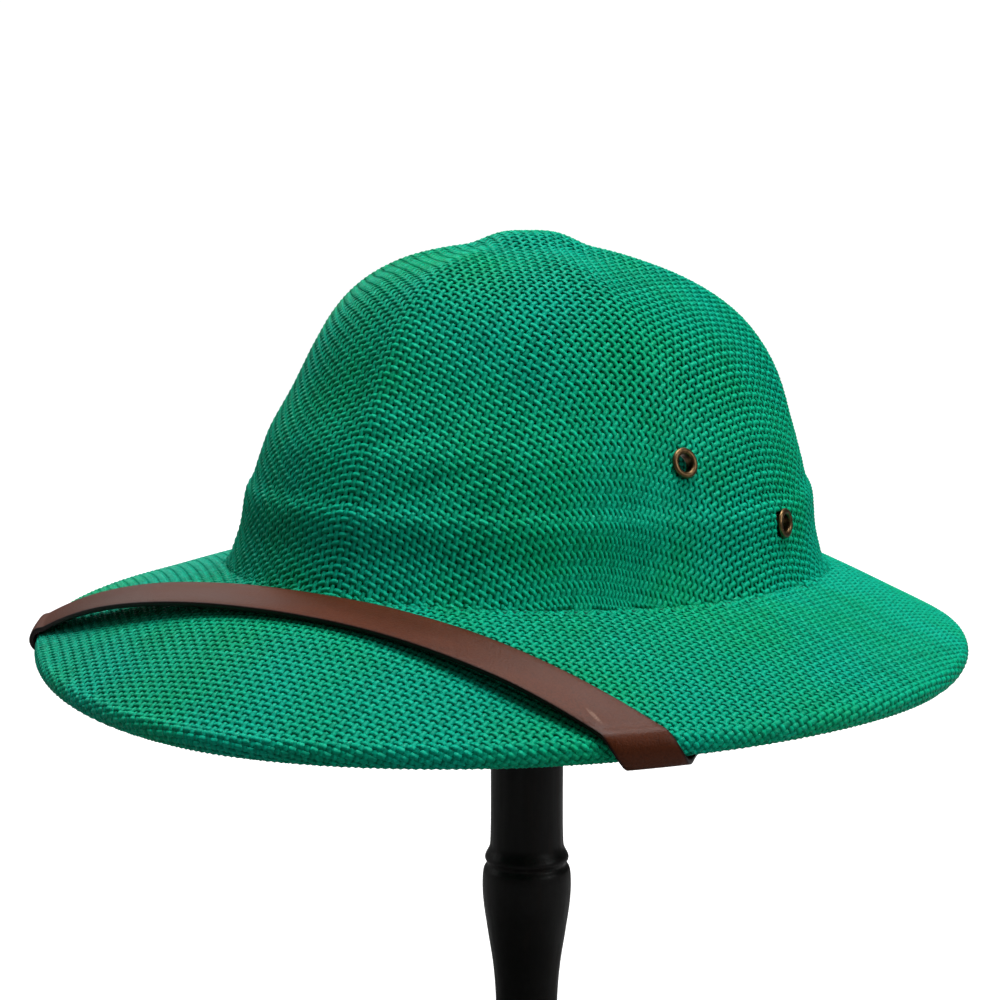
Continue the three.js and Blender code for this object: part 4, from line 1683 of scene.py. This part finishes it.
@dataclass
class DisplayStand:
    """The turned stand: a round base, a post with a swelling foot and a rounded rest."""

    form: HelmetForm
    finish: EbonisedBeech
    clear: float = 0.0008
    base_radius: float = 0.080
    base_thickness: float = 0.016
    base_arris: float = 0.001
    base_edge: tuple[float, float] = (0.008, 0.0085)
    base_step: float = 0.0005
    base_step_width: float = 0.004
    foot_radius: float = 0.019
    foot_arris: float = 0.0005
    neck_radius: float = 0.011
    neck_arris: float = 0.0002
    rest_radius: float = 0.042
    rest_round: tuple[float, float] = (0.004, 0.005)
    rest_arris: float = 0.002
    rest_levels: int = 8
    rest_rings: int = 16
    ring_half_width: float = 0.0012
    turning: tuple[tuple[float, float], ...] = (
        (-0.074, 0.0118),
        (0.0, 0.0118),
        (0.060, 0.0118),
        (0.092, 0.0119),
        (0.0955, 0.0122),
        (0.099, 0.0137),
        (0.101, 0.0131),
        (0.103, 0.0141),
        (0.108, 0.0145),
        (0.114, 0.0142),
        (0.124, 0.0128),
        (0.136, 0.0110),
        (0.149, 0.0101),
        (0.160, 0.0104),
        (0.168, 0.0126),
        (0.171, 0.0150),
        (0.176, 0.0170),
        (0.180, 0.0190),
    )

    def post(self) -> bpy.types.Object:
        """Turn the post from its foot to its shoulder.

        Returns:
            The post.
        """
        fold = self.form.fold_height
        rows = np.array([[radius, 0, fold - depth] for depth, radius in self.turning])[::-1]
        curve = [(float(point[0]), float(point[2])) for point in spline_rows(rows[:, None], 5)[:, 0]]
        low, high = self.base_thickness, curve[-1][1]
        wide, arris = self.foot_radius, self.foot_arris
        foot = [(0, low), (wide - arris, low), (wide, low + arris)]
        neck = [(self.neck_radius, high + self.neck_arris), (0, high)]
        return object_from(spun([*foot, *curve[1:], *neck], 96, closed=False), "stand_post_turned")

    def base(self) -> bpy.types.Object:
        """Turn the base, a flat disc with a rounded upper edge and a middle raised a little.

        Returns:
            The base.
        """
        radius, top, arris = self.base_radius, self.base_thickness, self.base_arris
        wide, tall = self.base_edge
        shoulder = top - self.base_step - tall
        edge = [
            (radius - wide + wide * math.cos(turn), shoulder + tall * math.sin(turn))
            for turn in even_angles(math.pi / 2, 10)
        ]
        middle = [(radius - wide - self.base_step_width, top), (0, top)]
        profile = [(0, 0), (radius - arris, 0), (radius, arris), *edge, *middle]
        return object_from(spun(profile, 128, closed=False), "stand_base_turned")

    def rest(self) -> bpy.types.Object:
        """Turn the rounded rest, whose dome follows the inside of the crown's top.

        Returns:
            The rest.
        """
        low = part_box("stand_rest")[0].z
        form, outer, arris = self.form, self.rest_radius, self.rest_arris
        wide, tall = self.rest_round
        rows = form.shaped().table[: self.rest_levels * form.per_station]
        station = np.arange(len(rows))[:, None] / form.per_station
        inner = form.in_frame(rows - form.normals(rows) * (form.wall(station) + self.clear)[..., None])
        away = np.hypot(inner[..., 0], inner[..., 1])
        radii = np.linspace(0, outer - wide, self.rest_rings)
        tops = [float(inner[np.abs(away - radius) < self.ring_half_width, 2].min()) for radius in radii]
        rounded = [
            (outer - wide * (1 - math.sin(turn)), tops[-1] - tall * (1 - math.cos(turn)))
            for turn in even_angles(math.pi / 2, 6)[1:]
        ]
        dome = [*zip(map(float, radii), tops), *rounded]
        profile = [*dome, (outer, low + arris), (outer - arris, low), (0, low)]
        return object_from(spun(profile, 96, closed=False), "stand_rest_turned")

    def build(self) -> list[bpy.types.Object]:
        """Turn and dress the stand's three pieces.

        Returns:
            The dressed pieces.
        """
        material = self.finish.material()
        makers = (("stand_base", self.base), ("stand_post", self.post), ("stand_rest", self.rest))
        pieces = []
        for node, maker in makers:
            piece = maker()
            crisp = piece.modifiers.new("crisp", "WEIGHTED_NORMAL")
            crisp.keep_sharp = True
            pieces.append(dress(piece, material, Slot.WOOD, [node]))
        return pieces


@dataclass
class Studio:
    """A white sweep of paper, soft lights and the camera."""

    form: HelmetForm
    azimuth: float = 34
    elevation: float = 9.46
    distance: float = 0.9
    focal_pixels: float = 2808
    image_pixels: float = 1000
    target_right: float = -0.00987
    target_up: float = 0.01857
    floor_radius: float = 2.2
    sweep_radius: float = 1.2
    wall_height: float = 2.4
    floor_paper: str = "#A0A0A0"
    floor_gap: float = 0.0005
    floor_glow: float = 1.0
    room_glow: float = 0.1
    sensor_millimetres: float = 36
    sight: float = 50

    def camera(self) -> None:
        """Set the camera where the photograph was taken from."""
        turn, tilt = math.radians(self.azimuth), math.radians(self.elevation)
        back = Vector((math.sin(turn) * math.cos(tilt), -math.cos(turn) * math.cos(tilt), math.sin(tilt)))
        right = Vector((math.cos(turn), math.sin(turn), 0))
        centre = Vector((0, self.form.back, self.form.fold_height + self.target_up))
        place = centre + right * self.target_right + back * self.distance
        data = bpy.data.cameras.new("camera")
        data.sensor_width = self.sensor_millimetres
        data.lens = self.focal_pixels / self.image_pixels * data.sensor_width
        data.clip_end = self.sight
        camera = in_scene("camera", data)
        camera.matrix_world = Matrix.Translation(place) @ back.to_track_quat("Z", "Y").to_matrix().to_4x4()
        bpy.context.scene.camera = camera

    def floor(self) -> None:
        """Lay the white floor, whose edge sweeps up all round so that every view is white."""
        sweep = [
            (self.floor_radius + self.sweep_radius * math.sin(turn), self.sweep_radius * (1 - math.cos(turn)))
            for turn in even_angles(math.pi / 2, 16)
        ]
        profile = [(0, 0), *sweep, (self.floor_radius + self.sweep_radius, self.wall_height)]
        shape = spun(profile, 96, closed=False)
        bmesh.ops.reverse_faces(shape, faces=[face for face in shape.faces if face.normal.z < 0])
        bmesh.ops.translate(shape, verts=shape.verts, vec=(0, 0, -self.floor_gap))
        floor = object_from(shape, "floor")
        material, tree = new_material("white_paper")
        seen = add_node(tree, "ShaderNodeLightPath").outputs["Is Camera Ray"]
        glow = maths(tree, "MULTIPLY", seen, self.floor_glow)
        paper = {"Base Color": linear(self.floor_paper), "Roughness": 0.9, "Specular IOR Level": 0.1}
        surface(tree, {**paper, "Emission Color": linear("#FFFFFF"), "Emission Strength": glow})
        floor.data.materials.append(material)

    def lamp(self, name: str, place: tuple[float, float, float], size: float, watts: float) -> None:
        """Hang one soft square lamp that looks at the helmet.

        Args:
            name: The lamp's name.
            place: Where it hangs.
            size: Its side, in metres.
            watts: Its power.
        """
        data = bpy.data.lights.new(name, "AREA")
        data.shape, data.size, data.energy = "SQUARE", size, watts
        aim = (Vector((0, 0, self.form.fold_height)) - Vector(place)).to_track_quat("-Z", "Y")
        in_scene(name, data).matrix_world = Matrix.Translation(place) @ aim.to_matrix().to_4x4()

    def light(self) -> None:
        """Light the helmet softly from above, with a bright room all round."""
        world = bpy.data.worlds.new("white_room")
        world.use_nodes = True
        air = world.node_tree.nodes["Background"]
        air.inputs[0].default_value, air.inputs[1].default_value = (1, 1, 1, 1), self.room_glow
        bpy.context.scene.world = world
        self.lamp("overhead", (0.1, 0.2, 1.5), 0.8, 22)
        self.lamp("right", (1.3, 0.1, 0.9), 0.8, 8.5)
        self.lamp("left", (-1.1, 0.6, 0.95), 0.9, 3.5)
        self.lamp("side", (-1.4, -0.4, 0.7), 0.8, 2.5)

    def build(self) -> None:
        """Set up floor, light and camera, and plain colours that keep the white white."""
        self.floor()
        self.light()
        self.camera()
        bpy.context.scene.view_settings.view_transform = "Standard"


def main() -> None:
    """Build the helmet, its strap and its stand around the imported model."""
    logging.basicConfig(level=logging.INFO, format="%(name)s: %(message)s")
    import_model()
    form = HelmetForm()
    brass = AntiqueBrass()
    eyelets = Eyelets(form, brass)
    StrawShell(form, PaperStraw()).build(eyelets.holes())
    eyelets.build()
    ChinStrap(form, WaxedLeather(), brass).build()
    DisplayStand(form, EbonisedBeech()).build()
    Studio(form).build()


if __name__ == "__main__":
    main()
